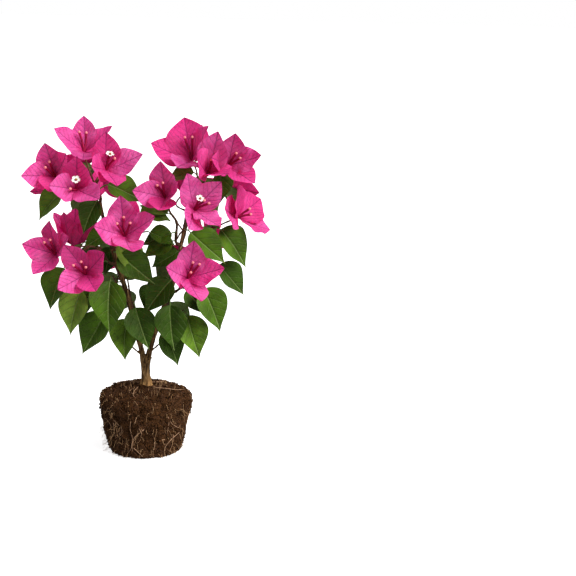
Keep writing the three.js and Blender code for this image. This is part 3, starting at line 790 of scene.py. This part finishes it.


# Bracts: three or four papery blades round each throat, netted with veins, with painted shade on their
# undersides and towards the throat.
bractLook = {
    "rows": 32, "columns": (-1, -0.93, -0.78, -0.58, -0.36, -0.16, 0, 0.16, 0.36, 0.58, 0.78, 0.93, 1),
    "broad": 0.96, "rise": 0.64, "fall": 0.74, "tip": (0.5, 5), "footHalf": 1.3, "fold": 0.25, "keel": 0.6,
    "waves": (1.4, 2.8), "waveDepth": (0.018, 0.046), "curl": (-0.07, 0.05), "quilt": 0.95, "pairs": 0.16,
    "sickle": 0.05, "thick": 0.34, "edge": 0.16, "rib": 0.35, "seed": 11,
    "pinks": {"bright": (0.87, 0.122, 0.515), "rose": (0.89, 0.080, 0.425), "deep": (0.85, 0.056, 0.350)},
    # the throat colour darkens each bract towards its foot: a painted shade
    # the underside colour is the bract pink darkened: a painted shade
    "shadedUnderside": (0.74, 0.038, 0.270), "vein": (0.36, 0.002, 0.105), "throat": (0.58, 0.002, 0.130),
    "glow": (1.0, 0.070, 0.460), "share": 0.54, "roughness": 0.55, "midribHalf": 0.016, "veinHalf": 0.012,
    "netShow": 0.26, "veinShow": 0.42, "midribShow": 0.68, "netScale": 17, "netHalf": (0.012, 0.10),
}


def bractFinish(name, base, look):
    finish = Finish(name)
    v, net, sideVeins, midrib = bladeVeins(finish, look)
    mottle = finish.noise(finish.place((55, 55, 55)), 1, 3)
    darker = tuple(c * 0.84 for c in base)
    lighter = (min(1, base[0] * 1.06), base[1] * 1.8, base[2] * 1.25)
    colour = finish.mix(mottle.between(0.3, 0.7), darker, lighter)
    colour = tinted(finish, colour, (net, sideVeins, midrib), look)
    # darker towards the foot of each bract: painted shade in the throat, where the bracts close round the
    # flowers
    colour = finish.mix((1 - v.between(0.02, 0.42)) * 0.85, colour, look["throat"])
    colour = finish.mix(v.between(0.94, 1.0) * 0.6, colour, look["vein"])
    crinkle = finish.noise(finish.place((420, 420, 420)), 1, 4)
    height = crinkle * 0.7 - net * 0.6 - sideVeins * 1.1 - midrib * 1.1
    values = {
        "Base Color": colour, "Roughness": look["roughness"] + 0.2 * mottle,
        "Normal": finish.bump(height, 0.8, 0.0010), "Specular IOR Level": 0.26,
    }
    dense = midrib * 0.7 + sideVeins * 0.45 + net * 0.35 + (1 - v.between(0.02, 0.4)) * 0.5
    return finish.close(values, look["glow"], (1 - dense) * look["share"])


sides = {
    "Left": [one for one in plant if sprays[one["name"]]["limb"] == "bough_left"],
    "Right": [one for one in plant if sprays[one["name"]]["limb"] == "bough_right"],
}
greens = [leafFinish("leaf-" + name, base, leafLook) for name, base in leafLook["greens"].items()]
greens.append(leafFinish("leaf-under", leafLook["under"], leafLook, True))
pinks = [bractFinish("bract-" + name, base, bractLook) for name, base in bractLook["pinks"].items()]
# the bracts' undersides, in a darker pink of painted shade
pinks.append(bractFinish("bract-outer", bractLook["shadedUnderside"], bractLook))


def dealGreenWithPaintedLight(blade, chance):  # greens at random, deeper inside and fresher outside and in front: painted shade inside, painted light on the lit front
    outside = np.hypot(blade["base"][0], blade["base"][1]) / 90
    pick = chance.random() * 0.72 + outside * 0.2 + (0.16 if blade["base"][1] < -22 else 0)
    top = 0 if pick < 0.42 else 1 if pick < 0.74 else 2 if pick < 0.94 else 3
    # the underside and the rim take the paler underside green; on the rim it is also a painted edge highlight
    return top, 4, 4


def dealPink(_, chance):
    pick = chance.random()
    top = 0 if pick < 0.5 else 1 if pick < 0.85 else 2
    # the top gets a pink at random, the underside the darker pink of painted shade
    return top, 3, top


for label, group in sides.items():
    leafBlades = [leaf["blade"] for one in group for leaf in one["leaves"]]
    bag = joinBlades(leafBlades, leafLook, leafLook["seed"], dealGreenWithPaintedLight)
    bag.piece("leaves" + label, greens, "leaf", [one["name"] for one in group if not one["blooms"]], 60)
    bractBlades = [blade for one in group for head in one["blooms"] for blade in head["blades"]]
    bag = joinBlades(bractBlades, bractLook, bractLook["seed"], dealPink)
    bag.piece("bracts" + label, pinks, "bract", [one["name"] for one in group if one["blooms"]], 60)
print("leaves and bracts made")

# Flowers: narrow crimson tubes in each throat, most still shut, some opened into a small white star.
flowerLook = {
    "length": 22, "extra": 2, "sunk": 1.5, "sag": 0.7, "steps": 14, "sides": 10, "base": 1.7, "neck": 1.25,
    "mouth": 1.5, "shut": (1.05, 1), "open": (1.1, 1.15), "budRadius": 1.5,
    "budRings": (-0.6, 0.1, 0.9, 1.7, 2.3, 2.6), "budSwell": (0.82, 1.0, 1.06, 0.92, 0.56, 0.12),
    "star": 5.2, "starRows": 7, "starSpokes": 60, "starThick": 0.3, "starDip": 1.3,
    "crimson": (0.190, 0.001, 0.030), "salmon": (0.84, 0.26, 0.27), "white": (0.95, 0.93, 0.88),
    "heart": (0.50, 0.46, 0.06), "seed": 3, "openShare": 0.2,
}


def plainFinish(name, base, variation, roughness, scale, relief=0.0003, through=None, share=0):
    finish = Finish(name)
    mottle = finish.noise(finish.place((scale,) * 3), 1, 4)
    other = tuple(min(1, c * variation) for c in base)
    colour = finish.mix(mottle.between(0.3, 0.7), base, other)
    values = {"Base Color": colour, "Roughness": roughness + 0.15 * mottle,
              "Normal": finish.bump(mottle, 0.5, relief), "Specular IOR Level": 0.25}
    return finish.close(values, through, share)


def addTube(bag, throat, way, kind, look, chance, length=None):
    length = length or look["length"] + chance.uniform(-1, 1) * look["extra"]
    sag = unit(np.cross(way, (chance.uniform(-1, 1), chance.uniform(-1, 1), 0.3)))
    foot = throat - way * look["sunk"]
    run = np.array((foot, throat + way * length * 0.5 + sag * look["sag"], throat + way * length))
    points = runPoints(run, look["steps"])
    waist, flare = look["shut" if kind == bud else "open"]
    bag.limb(points, (look["base"], look["neck"], look["neck"] * waist, look["mouth"] * flare), look["sides"])
    if kind == star:
        addStar(bag, points[-1], way, look, chance)
        return
    tip = points[-1] + way * np.array(look["budRings"])[:, None]
    bag.limb(tip, look["budRadius"] * np.array(look["budSwell"]), look["sides"], 1)


def addStar(bag, centre, way, look, chance):  # five notched lobes, dished towards the tube
    across = unit(np.cross(way, (0.2, 0.1, 0.97)))
    forward = np.cross(way, across)
    angles = np.arange(look["starSpokes"]) * math.tau / look["starSpokes"]
    turned = angles * 5 + chance.uniform(0, 6)
    wave = np.cos(turned / 2)
    notch = np.exp(-(((wave**2 - 1) / 0.03) ** 2))
    lobes = 0.60 + 0.40 * np.abs(wave) ** 0.7 - 0.16 * notch
    share = np.linspace(0.1, 1, look["starRows"])[:, None]
    spread = look["star"] * share * (1 - share * (1 - lobes[None]))
    lift = look["starDip"] * (share**2 - 1) + 0.9 + 0.35 * np.sin(turned * 2)[None] * share**3
    sideways = (spread * np.cos(angles))[..., None] * across
    onwards = (spread * np.sin(angles))[..., None] * forward
    sheet = centre + sideways + onwards + lift[..., None] * way
    below = sheet - way * look["starThick"]
    count = sheet.shape[0] * sheet.shape[1]
    faces = gridFaces(look["starRows"], look["starSpokes"], True)
    edge = np.arange(count - look["starSpokes"], count)
    rim = np.stack((edge, edge + count, np.roll(edge, -1) + count, np.roll(edge, -1)), axis=1)
    inner = np.arange(look["starSpokes"])
    points = np.concatenate((sheet.reshape(-1, 3), below.reshape(-1, 3)))
    bag.add(points, [faces[:, ::-1], faces + count, rim[:, ::-1], inner[None], inner[None, ::-1] + count],
            [2, 2, 2, 3, 3])
    for k in range(5):  # stamens just inside the mouth
        out = swing(across, forward, 72 * k + 20)
        run = np.array((centre, centre + way * 0.9 + out * 0.5, centre + way * 1.7 + out * 0.9))
        bag.limb(run, (0.3, 0.25, 0.42), 6, 3)


flowerBag = Bag()
chance = random.Random(flowerLook["seed"])
for one in plant:
    for head in one["blooms"]:
        for way, kind, *length in head["tubes"]:
            isBack = one["name"].startswith("back")
            opened = star if isBack and chance.random() < flowerLook["openShare"] else kind
            addTube(flowerBag, head["throat"], way, opened, flowerLook, chance, *length)
flowerFinishes = [
    plainFinish("flower-tube", flowerLook["crimson"], 1.8, 0.5, 300),
    plainFinish("flower-bud", flowerLook["salmon"], 1.2, 0.5, 400, through=(0.9, 0.3, 0.3), share=0.2),
    plainFinish("flower-star", flowerLook["white"], 0.92, 0.5, 500, through=(0.95, 0.95, 0.9), share=0.25),
    plainFinish("flower-heart", flowerLook["heart"], 0.7, 0.5, 900),
]
flowerBag.piece("flowers", flowerFinishes, "bract", sharp=70)
print("flowers made")

# Trunk and boughs: tubes joined by a voxel remesh, then raised into ridges of bark.
woodLook = {
    "voxel": 0.5, "ridge": 0.5, "knots": 0.55, "smooth": 7,
    "bark": (0.210, 0.115, 0.042), "crack": (0.050, 0.024, 0.008), "light": (0.480, 0.290, 0.130),
    "foot": (0.620, 0.330, 0.120), "footHeight": 0.094,
}
forkShoots = (  # thin shoots at the fork, hidden behind the low leaves, and a healed knob
    ((-6, 1, 121), (-15.5, -4, 130.7), (-24, -10, 142), (-30, -14, 158)),
    ((6, 1, 124), (15.5, -4, 134), (21.5, -8, 142), (26, -12, 156)),
    ((3, -2, 116), (6.2, -4.5, 117.5), (7.6, -5.6, 118.2)),
)
# The compass of each root at the trunk's foot, and how far it runs.
footRoots = ((-14, 3.5), (48, 4), (110, 5), (170, 3), (236, 3.5), (292, 2.5))


def woodBase():
    bag = Bag()
    run = ((1, 7, 73), (1, 7, 80.3), (0.7, 5.6, 87), (0.5, 4, 95), (0.1, 2.4, 108), (-0.3, 1.3, 116),
           (-0.4, 1, 120))
    bag.limb(runPoints(point(run), 70), (7.6, 7.0, 6.0, 5.5, 5.6, 5.6, 3), 28)
    for name, side in (("bough_left", -1), ("bough_right", 1)):
        one = boughs[name]
        first, second, last = one["radii"]
        run = ((side * 1.6, 2.2, 98), (side * 2.4, 1.2, 110), *one["run"])
        radii = (first * 0.9, first * 1.1, first * 1.12, first, second * 1.05, second, second * 0.8, last)
        bag.limb(runPoints(point(run), 130), radii, 16)
    for run in forkShoots:
        bag.limb(runPoints(point(run), 24), (1.3, 1.0, 0.8) if len(run) > 3 else (2.2, 1.9, 1.2), 10)
    heart = point((1, 7, 0))
    for compass, far in footRoots:
        out = point((math.cos(math.radians(compass)), math.sin(math.radians(compass)), 0))
        places = ((3.4, 92), (5.6, 85), (5 + far * 0.5, 80), (6 + far, 77))  # off the heart, and height
        run = point([heart + out * off + up * height for off, height in places])
        bag.limb(runPoints(run, 24), (1.8, 2.0, 1.8, 1.1), 12)
    return bag


def barkFinish(look):
    finish = Finish("bark")
    height = finish.add("ShaderNodeSeparateXYZ", {}, {0: finish.add("ShaderNodeTexCoord", out="Object")}, 2)
    strands = finish.noise(finish.place((420, 420, 60)), 1, 5, 0.6)
    plates = finish.noise(finish.place((150, 150, 55)), 1, 3)
    colour = finish.mix(strands.between(0.40, 0.58), look["crack"], look["bark"])
    colour = finish.mix(strands.between(0.56, 0.70) * plates.between(0.35, 0.6), colour, look["light"])
    footShare = (1 - height.between(0.076, look["footHeight"])) * 0.8 * strands.between(0.2, 0.6)
    colour = finish.mix(footShare, colour, look["foot"])
    relief = strands * 0.9 + plates * 0.4
    values = {"Base Color": colour, "Roughness": 0.8 + 0.15 * plates,
              "Normal": finish.bump(relief, 0.8, 0.0009), "Specular IOR Level": 0.2}
    return finish.close(values)


def fused(bag, look):  # one skin over all the tubes of a bag; a remesh is quick in millimetres only
    made = bpy.data.objects.new("fused", bag.mesh("fused", 1))
    bpy.context.scene.collection.objects.link(made)
    remesh = made.modifiers.new("join", "REMESH")
    remesh.mode = "VOXEL"
    remesh.voxel_size = look["voxel"]
    soften = made.modifiers.new("soften", "SMOOTH")
    soften.factor = 0.5
    soften.iterations = look["smooth"]
    skin = bpy.data.meshes.new_from_object(made.evaluated_get(bpy.context.evaluated_depsgraph_get()))
    points = np.empty(len(skin.vertices) * 3)
    skin.vertices.foreach_get("co", points)
    normals = np.empty(len(skin.vertices) * 3)
    skin.vertices.foreach_get("normal", normals)
    corners = np.empty(len(skin.loops), int)
    skin.loops.foreach_get("vertex_index", corners)
    rough = made.data
    bpy.data.objects.remove(made)
    bpy.data.meshes.remove(rough)
    bpy.data.meshes.remove(skin)
    return points.reshape(-1, 3), normals.reshape(-1, 3), corners.reshape(-1, 4)


points, normals, quads = fused(woodBase(), woodLook)
for k, at in enumerate(points):
    strand = noise.fractal(Vector(at * (0.34, 0.34, 0.055)), 0.9, 2.1, 3)
    knot = noise.noise(Vector(at * (0.12, 0.12, 0.09)))
    fade = min(1, max(0.35, (190 - at[2]) / 80))
    swell = (woodLook["ridge"] * strand + woodLook["knots"] * knot) * fade
    points[k] = at + normals[k] * swell
woodBag = Bag()
woodBag.add(points, [quads], [0])
woodBag.piece("wood", [barkFinish(woodLook)], "bark", ("trunk", "bough_left", "bough_right"))
print("wood made")

# Stems, twigs and leaf stalks: brown near the boughs, greener to the tips.
stalkLook = {
    "collar": 1.45, "node": 1.35, "nodeHalf": 0.03, "intoBlade": 2.5,
    "brown": (0.120, 0.058, 0.026), "russet": (0.150, 0.050, 0.024), "green": (0.095, 0.165, 0.034),
}


def knotty(radii, count, look, chance):  # swollen where twigs leave
    spread = taper(radii, count)
    place = np.linspace(0, 1, count)
    for at in np.arange(0.18, 1, 0.27):
        at = at + chance.uniform(-0.05, 0.05)
        spread = spread * (1 + (look["node"] - 1) * np.exp(-(((place - at) / look["nodeHalf"]) ** 2)))
    return spread


stalkBag = Bag()
for one in plant:
    isSide = sprays[one["name"]]["at"] < 1  # a side stem leans away from its limb
    run = np.concatenate(([one["seat"]], one["stem"][1:] if isSide else one["stem"]))
    radii = (stem["radius"] * stalkLook["collar"], stem["radius"] * 1.1, stem["radius"], stem["tipRadius"])
    stalkBag.limb(runPoints(run, 48), knotty(radii, 49, stalkLook, chance), 9)
    for k, run in enumerate(one["twigs"]):
        isBearing = k < len(one["blooms"])
        radii = (twig["radius"] * 1.1, twig["radius"] * 0.95, twig["tipRadius"] * (1.25 if isBearing else 1))
        stalkBag.limb(runPoints(run, 20), knotty(radii, 21, stalkLook, chance), 8, 1)
    for leaf in one["leaves"]:
        run = leaf["stalk"]
        end = run[-1] + leaf["blade"]["heading"] * stalkLook["intoBlade"]
        radii = (petiole["radius"] * 1.25, petiole["radius"], petiole["tipRadius"])
        stalkBag.limb(runPoints(np.concatenate((run, [end])), 12), radii, 7, 2)
for run in fineTwigs:
    stalkBag.limb(runPoints(run, 16), (twig["radius"], twig["radius"] * 0.85), 8, 1)
stalkFinishes = [
    plainFinish("stem-brown", stalkLook["brown"], 0.45, 0.7, 260, 0.0005),
    plainFinish("twig-russet", stalkLook["russet"], 0.6, 0.62, 260, 0.0004),
    plainFinish("stalk-green", stalkLook["green"], 1.5, 0.5, 200, 0.0003),
]
stalkBag.piece("stalks", stalkFinishes, "bark")
print("stalks made")

# Root ball: crumbly soil that keeps the taper of its pot, bound by rootlets.
ballLook = {
    "footRadius": 46, "rimRadius": 56, "rimHeight": 67, "crownHeight": 80, "seatRadius": 11, "lump": 1.6,
    "rows": 150, "underRows": 14, "columns": 300, "coarse": 1.5, "fine": 1.1, "seed": 23,
    "dark": (0.013, 0.005, 0.001), "brown": (0.060, 0.026, 0.009), "red": (0.130, 0.050, 0.017),
}


def ballProfile(look):
    foot = look["footRadius"]
    rim = look["rimRadius"]
    crown = look["crownHeight"]
    return point((
        (0, 0), (foot - 5, 0), (foot - 0.5, 3), (foot + 0.5, 10), (foot + 4, 27), (foot + 8, 44),
        (rim - 0.5, 57), (rim, look["rimHeight"] + 1), (rim - 3.5, look["rimHeight"] + 6),
        (rim * 0.7, crown - 3.5), (rim * 0.4, crown - 1), (look["seatRadius"], crown), (0, crown),
    ))


# Waves round the ball, as (count, twist with height, start, size).
lumps = ((3, 0.13, 0, 1), (7, -0.2, 1, 0.7), (11, 0, 2, 0.5))
profile = ballProfile(ballLook)
reach = np.concatenate(([0], np.cumsum(np.linalg.norm(np.diff(profile, axis=0), axis=1))))
reach = reach / reach[-1]


def onProfile(share):  # distance from the middle, and height
    return np.interp(share, reach, profile[:, 0]), np.interp(share, reach, profile[:, 1])


def ballSpot(share, angle):  # a point of the root ball and the way out of it, for a share of its profile
    r, z = onProfile(share)
    ahead = onProfile(min(share + 0.02, 1))
    behind = onProfile(max(share - 0.02, 0))
    slope = unit(point((ahead[1] - behind[1], behind[0] - ahead[0])))
    broad = sum(size * math.sin(count * angle + twist * z + start) for count, twist, start, size in lumps)
    if z >= 1:
        r = r + ballLook["lump"] * broad / 2.2
    way = point((slope[0] * math.cos(angle), slope[0] * math.sin(angle), slope[1]))
    spot = point((r * math.cos(angle), r * math.sin(angle), z))
    rough = ballLook["coarse"] * noise.fractal(Vector(spot * 0.085), 0.8, 2.1, 3)
    rough += ballLook["fine"] * noise.fractal(Vector(spot * 0.42), 0.7, 2.2, 3)
    spot = spot + way * rough
    spot[2] = max(spot[2], 0)
    return spot, way


def shareAt(z):  # of the profile, for a height on its side
    return float(np.interp(z, profile[1:9, 1], reach[1:9]))


def topShare(distance):  # of the profile, for a distance from the middle on top
    return float(np.interp(-distance, -profile[8:, 0], reach[8:]))


ballBag = Bag()
under = np.linspace(0.02, reach[1], ballLook["underRows"])[:-1]
shares = np.concatenate((under, np.linspace(reach[1], 0.995, ballLook["rows"])))
angles = np.arange(ballLook["columns"]) * math.tau / ballLook["columns"]
spots = np.array([ballSpot(share, angle)[0] for share in shares for angle in angles])
ballFaces = gridFaces(len(shares), ballLook["columns"], True)
firstRing = np.arange(ballLook["columns"])
lastRing = firstRing + (len(shares) - 1) * ballLook["columns"]
ballBag.add(spots, [ballFaces, firstRing[None, ::-1], lastRing[None]], [0, 0, 0])


def soilFinish(look):
    finish = Finish("soil")
    at = finish.place((1, 1, 1))
    coarse = finish.noise(at, 140, 5, 0.4)
    fine = finish.noise(at, 620, 4, 1.2)
    grain = finish.add("ShaderNodeTexVoronoi", {}, {"Vector": at, "Scale": 520})
    colour = finish.mix(coarse.between(0.36, 0.62), look["dark"], look["brown"])
    colour = finish.mix(fine.between(0.5, 0.68) * 0.7, colour, look["red"])
    colour = finish.mix(grain.between(0.55, 0.8) * 0.6, colour, look["dark"])
    height = coarse * 1.2 + fine * 0.8 - grain * 0.9
    values = {"Base Color": colour, "Roughness": 0.9 + 0.08 * coarse,
              "Normal": finish.bump(height, 1.0, 0.0018), "Specular IOR Level": 0.05}
    return finish.close(values)


soil = soilFinish(ballLook)
ballBag.piece("rootBall", [soil], "soil", ("root_ball",))

# Crumbs: icosahedra with jittered corners, sunk a little into the soil.
crumbLook = {
    "count": 2500, "clodShare": 0.10, "clod": (1.2, 2.3), "crumb": (0.5, 1.2), "stretch": (0.65, 1.25),
    "jitter": (-0.3, 0.3), "turns": (0, 6.28), "lift": 0.15,
}
gold = (1 + math.sqrt(5)) / 2
signs = [(a, b * gold) for a in (-1, 1) for b in (-1, 1)]
corners = point([(0, a, b) for a, b in signs] + [(a, b, 0) for a, b in signs] + [(b, 0, a) for a, b in signs])
corners = corners / np.linalg.norm(corners[0])
crumbFaces = []
for i in range(12):
    for j in range(i + 1, 12):
        for k in range(j + 1, 12):
            a, b, c = corners[[i, j, k]]
            if max(np.linalg.norm(a - b), np.linalg.norm(b - c), np.linalg.norm(a - c)) < 1.1:
                crumbFaces.append((i, j, k) if np.cross(b - a, c - a) @ a > 0 else (i, k, j))
crumbFaces = np.array(crumbFaces)


def addCrumb(bag, centre, radius, look, chance):
    shape = corners * point([chance.uniform(*look["stretch"]) for _ in range(3)]) * radius
    jitter = point([[chance.uniform(*look["jitter"]) * radius for _ in range(3)] for _ in corners])
    angle = chance.uniform(*look["turns"])
    axis = Vector((chance.random(), chance.random(), 1))
    turn = np.array(Matrix.Rotation(angle, 3, axis))
    placed = (shape + jitter) @ turn.T + centre
    placed[:, 2] = np.maximum(placed[:, 2], 0)
    bag.add(placed, [crumbFaces], [0])


crumbBag = Bag()
chance = random.Random(ballLook["seed"])
for _ in range(crumbLook["count"]):
    isClod = chance.random() < crumbLook["clodShare"]
    share = chance.uniform(reach[1] * 0.98, 0.99)
    spot, way = ballSpot(share, chance.uniform(0, wholeTurn))
    radius = chance.uniform(*crumbLook["clod" if isClod else "crumb"])
    addCrumb(crumbBag, spot + way * radius * crumbLook["lift"], radius, crumbLook, chance)
crumbBag.piece("crumbs", [soil], "soil")

# Rootlets: thick pale ones at known places, then a seeded mat of finer ones, and hairs that stand off.
knownRoots = (  # each a list of (compass in degrees, height), and its radius
    (((268, 42), (257, 33), (251, 22), (250, 16), (238, 3)), 0.55),
    (((253, 16), (259, 11), (266, 5)), 0.45),
    (((297, 26), (284, 25), (283, 16), (279, 10)), 0.5),
    (((322, 30), (308, 23), (299, 14), (301, 4)), 0.5),
    (((299, 56), (301, 44), (299, 33)), 0.4),
    (((252, 52), (250, 41), (253, 24), (249, 6)), 0.35),
    (((259, 58), (257, 49)), 0.35),
    (((344, 52), (337, 42), (340, 30)), 0.4),
    (((226, 46), (225, 36), (227, 26)), 0.3),
    (((262, 44), (265, 38), (263, 31)), 0.3),
    (((310, 30), (313, 18), (309, 5)), 0.35),
)
topRoots = (  # across the top, as (compass in degrees, distance from the middle)
    (((222, 12), (238, 25), (246, 37), (254, 42)), 0.38),
    (((320, 12), (336, 28), (343, 39), (358, 48)), 0.5),
    (((120, 14), (140, 30), (150, 44)), 0.45),
    (((60, 14), (48, 30), (56, 46)), 0.45),
)
rootLook = {
    "known": (0.8, 0.9), "top": (0.85, 1.6),  # share of the listed radius, and lift off the soil
    "mat": {"count": 90, "joints": (5, 9), "step": (3, 6), "radius": (0.18, 0.34), "rings": 3, "sides": 4},
    "fibre": {"count": 2200, "joints": (3, 5), "step": (1.8, 3.6), "radius": (0.13, 0.26), "rings": 2,
              "sides": 3},
    "hair": {"count": 360, "shares": (reach[2], 0.92), "step": (0.3, 3.0), "drop": (-5.5, 2.4)},
    "footHair": {"count": 70, "shares": (reach[1], reach[3]), "step": (0.4, 3.6), "drop": (-2, 0.4)},
    "paleShare": 0.1, "sunk": 0.4, "profile": 176, "girth": 50, "hairRadii": (0.20, 0.17, 0.11),
    "straw": (0.500, 0.290, 0.170), "brown": (0.115, 0.048, 0.020), "pale": (0.300, 0.175, 0.085),
}


def layRoot(bag, places, radius, slot, lift, chance, steps=4, sides=6):
    points = []  # of the run, for places as (share of the profile, angle)
    for share, angle in places:
        spot, way = ballSpot(share, angle)
        points.append(spot + way * (lift + chance.uniform(0, 0.5)))
    count = max(6, steps * (len(points) - 1))
    line = runPoints(np.array(points), count)
    line[:, 2] = np.maximum(line[:, 2], radius)
    bag.limb(line, (radius, radius * 0.85, radius * 0.4), sides, slot)


rootBag = Bag()
for roots, shareOf, kind in ((knownRoots, shareAt, "known"), (topRoots, topShare, "top")):
    slim, lift = rootLook[kind]
    for places, radius in roots:
        spots = [(shareOf(along), math.radians(compass)) for compass, along in places]
        layRoot(rootBag, spots, radius * slim, 0, lift, chance)


def strayRoot(kind, isMat):  # wanders over the ball; a root of the mat starts out steep
    share = chance.uniform(reach[1], 0.97)
    angle = chance.uniform(0, wholeTurn)
    heading = chance.choice((-1.57, 1.57)) if isMat else 0
    heading += chance.uniform(-0.9, 0.9) if isMat else chance.uniform(0, wholeTurn)
    bend = chance.uniform(-0.5, 0.5)
    places = [(share, angle)]
    for _ in range(chance.randint(*kind["joints"])):
        heading += bend + chance.uniform(-0.35, 0.35)
        step = chance.uniform(*kind["step"])
        share = min(max(share + step * math.sin(heading) / rootLook["profile"], reach[1]), 0.985)
        angle += step * math.cos(heading) / rootLook["girth"]
        places.append((share, angle))
    radius = chance.uniform(*kind["radius"])
    slot = 0 if isMat and chance.random() < rootLook["paleShare"] else 1
    layRoot(rootBag, places, radius, slot, radius * rootLook["sunk"], chance, kind["rings"], kind["sides"])


def strayHair(kind):  # stands off the ball and falls
    spot, way = ballSpot(chance.uniform(*kind["shares"]), chance.uniform(0, wholeTurn))
    aside = np.cross(way, up)
    line = [spot - way, spot + way * chance.uniform(0.8, 2.6)]
    lean = chance.uniform(-2, 2)
    for _ in range(3):
        step = chance.uniform(*kind["step"])
        drop = chance.uniform(*kind["drop"])
        line.append(line[-1] + way * step + aside * (lean + chance.uniform(-0.7, 0.7)) + up * drop)
    line = runPoints(np.array(line), 10)
    line[:, 2] = np.maximum(line[:, 2], rootLook["hairRadii"][0])
    rootBag.limb(line, rootLook["hairRadii"], 3, 2)


for name in ("mat", "fibre"):
    for _ in range(rootLook[name]["count"]):
        strayRoot(rootLook[name], name == "mat")
for name in ("hair", "footHair"):
    for _ in range(rootLook[name]["count"]):
        strayHair(rootLook[name])
rootFinishes = [
    plainFinish("root-straw", rootLook["straw"], 0.6, 0.7, 300, 0.0003),
    plainFinish("root-fibre", rootLook["brown"], 0.5, 0.8, 300, 0.0003),
    plainFinish("root-hair", rootLook["pale"], 1.6, 0.7, 300, 0.0002),
]
rootBag.piece("rootlets", rootFinishes, "soil")
print("root ball made")

# Floor, light and camera.
studio = {
    "floor": (0.80, 0.80, 0.80), "floorSize": 400, "floorGlow": 0.72, "sky": 0.52, "sun": 4.9,
    "sunWidth": 40, "sunFrom": (1.08, -0.86, 1.05),
}
lens = {
    "from": (0, -1.5, 0.53), "yaw": 6.65355845, "pitch": 12.15917641, "roll": 1.40747847, "focal": 78.125,
}

floorFinish = Finish("floor")
speckle = floorFinish.noise(floorFinish.place((3, 3, 3)), 1, 2)
floorColour = floorFinish.mix(speckle * 0.2, studio["floor"], tuple(c * 0.98 for c in studio["floor"]))
floorMaterial = floorFinish.close({"Base Color": floorColour, "Roughness": 0.9, "Specular IOR Level": 0.1,
                                   "Emission Color": (1, 1, 1, 1), "Emission Strength": studio["floorGlow"]})
half = studio["floorSize"] / 2
floorMesh = bpy.data.meshes.new("floor")
floorCorners = [(x * half, y * half, 0) for x, y in ((-1, -1), (1, -1), (1, 1), (-1, 1))]
floorMesh.from_pydata(floorCorners, [], [(0, 1, 2, 3)])
floorMesh.materials.append(floorMaterial)
floor = bpy.data.objects.new("floor", floorMesh)
bpy.context.scene.collection.objects.link(floor)
floor.visible_diffuse = False  # the plant is lit from above only
floor.visible_glossy = False

sunData = bpy.data.lights.new("sun", "SUN")
sunData.energy = studio["sun"]
sunData.angle = math.radians(studio["sunWidth"])
sun = bpy.data.objects.new("sun", sunData)
sun.rotation_euler = Vector(studio["sunFrom"]).to_track_quat("Z", "Y").to_euler()
bpy.context.scene.collection.objects.link(sun)
world = bpy.data.worlds.new("studio")
sky = Finish("studio", world)
seen = sky.add("ShaderNodeLightPath", out="Is Camera Ray")  # the backdrop is white, its light softer
strength = sky.add("ShaderNodeMapRange", {}, {"Value": seen, "To Min": studio["sky"], "To Max": 1})
backdrop = sky.add("ShaderNodeBackground", {}, {"Color": (1, 1, 1, 1), "Strength": strength})
sky.add("ShaderNodeOutputWorld", {}, {"Surface": backdrop})
bpy.context.scene.world = world
bpy.context.scene.view_settings.view_transform = "Standard"

cameraData = bpy.data.cameras.new("camera")
cameraData.lens = lens["focal"]
cameraData.sensor_width = 36
camera = bpy.data.objects.new("camera", cameraData)
yaw = math.radians(lens["yaw"])
pitch = math.radians(lens["pitch"])
ahead = point((math.sin(yaw) * math.cos(pitch), math.cos(yaw) * math.cos(pitch), -math.sin(pitch)))
level = point((math.cos(yaw), -math.sin(yaw), 0))
right = swing(level, np.cross(level, ahead), lens["roll"])
columns = (right, np.cross(right, ahead), -ahead)
turned = Matrix([[float(column[k]) for column in columns] for k in range(3)])
camera.matrix_world = Matrix.LocRotScale(Vector(lens["from"]), turned.to_quaternion(), None)
bpy.context.scene.collection.objects.link(camera)
bpy.context.scene.camera = camera
print("studio set")
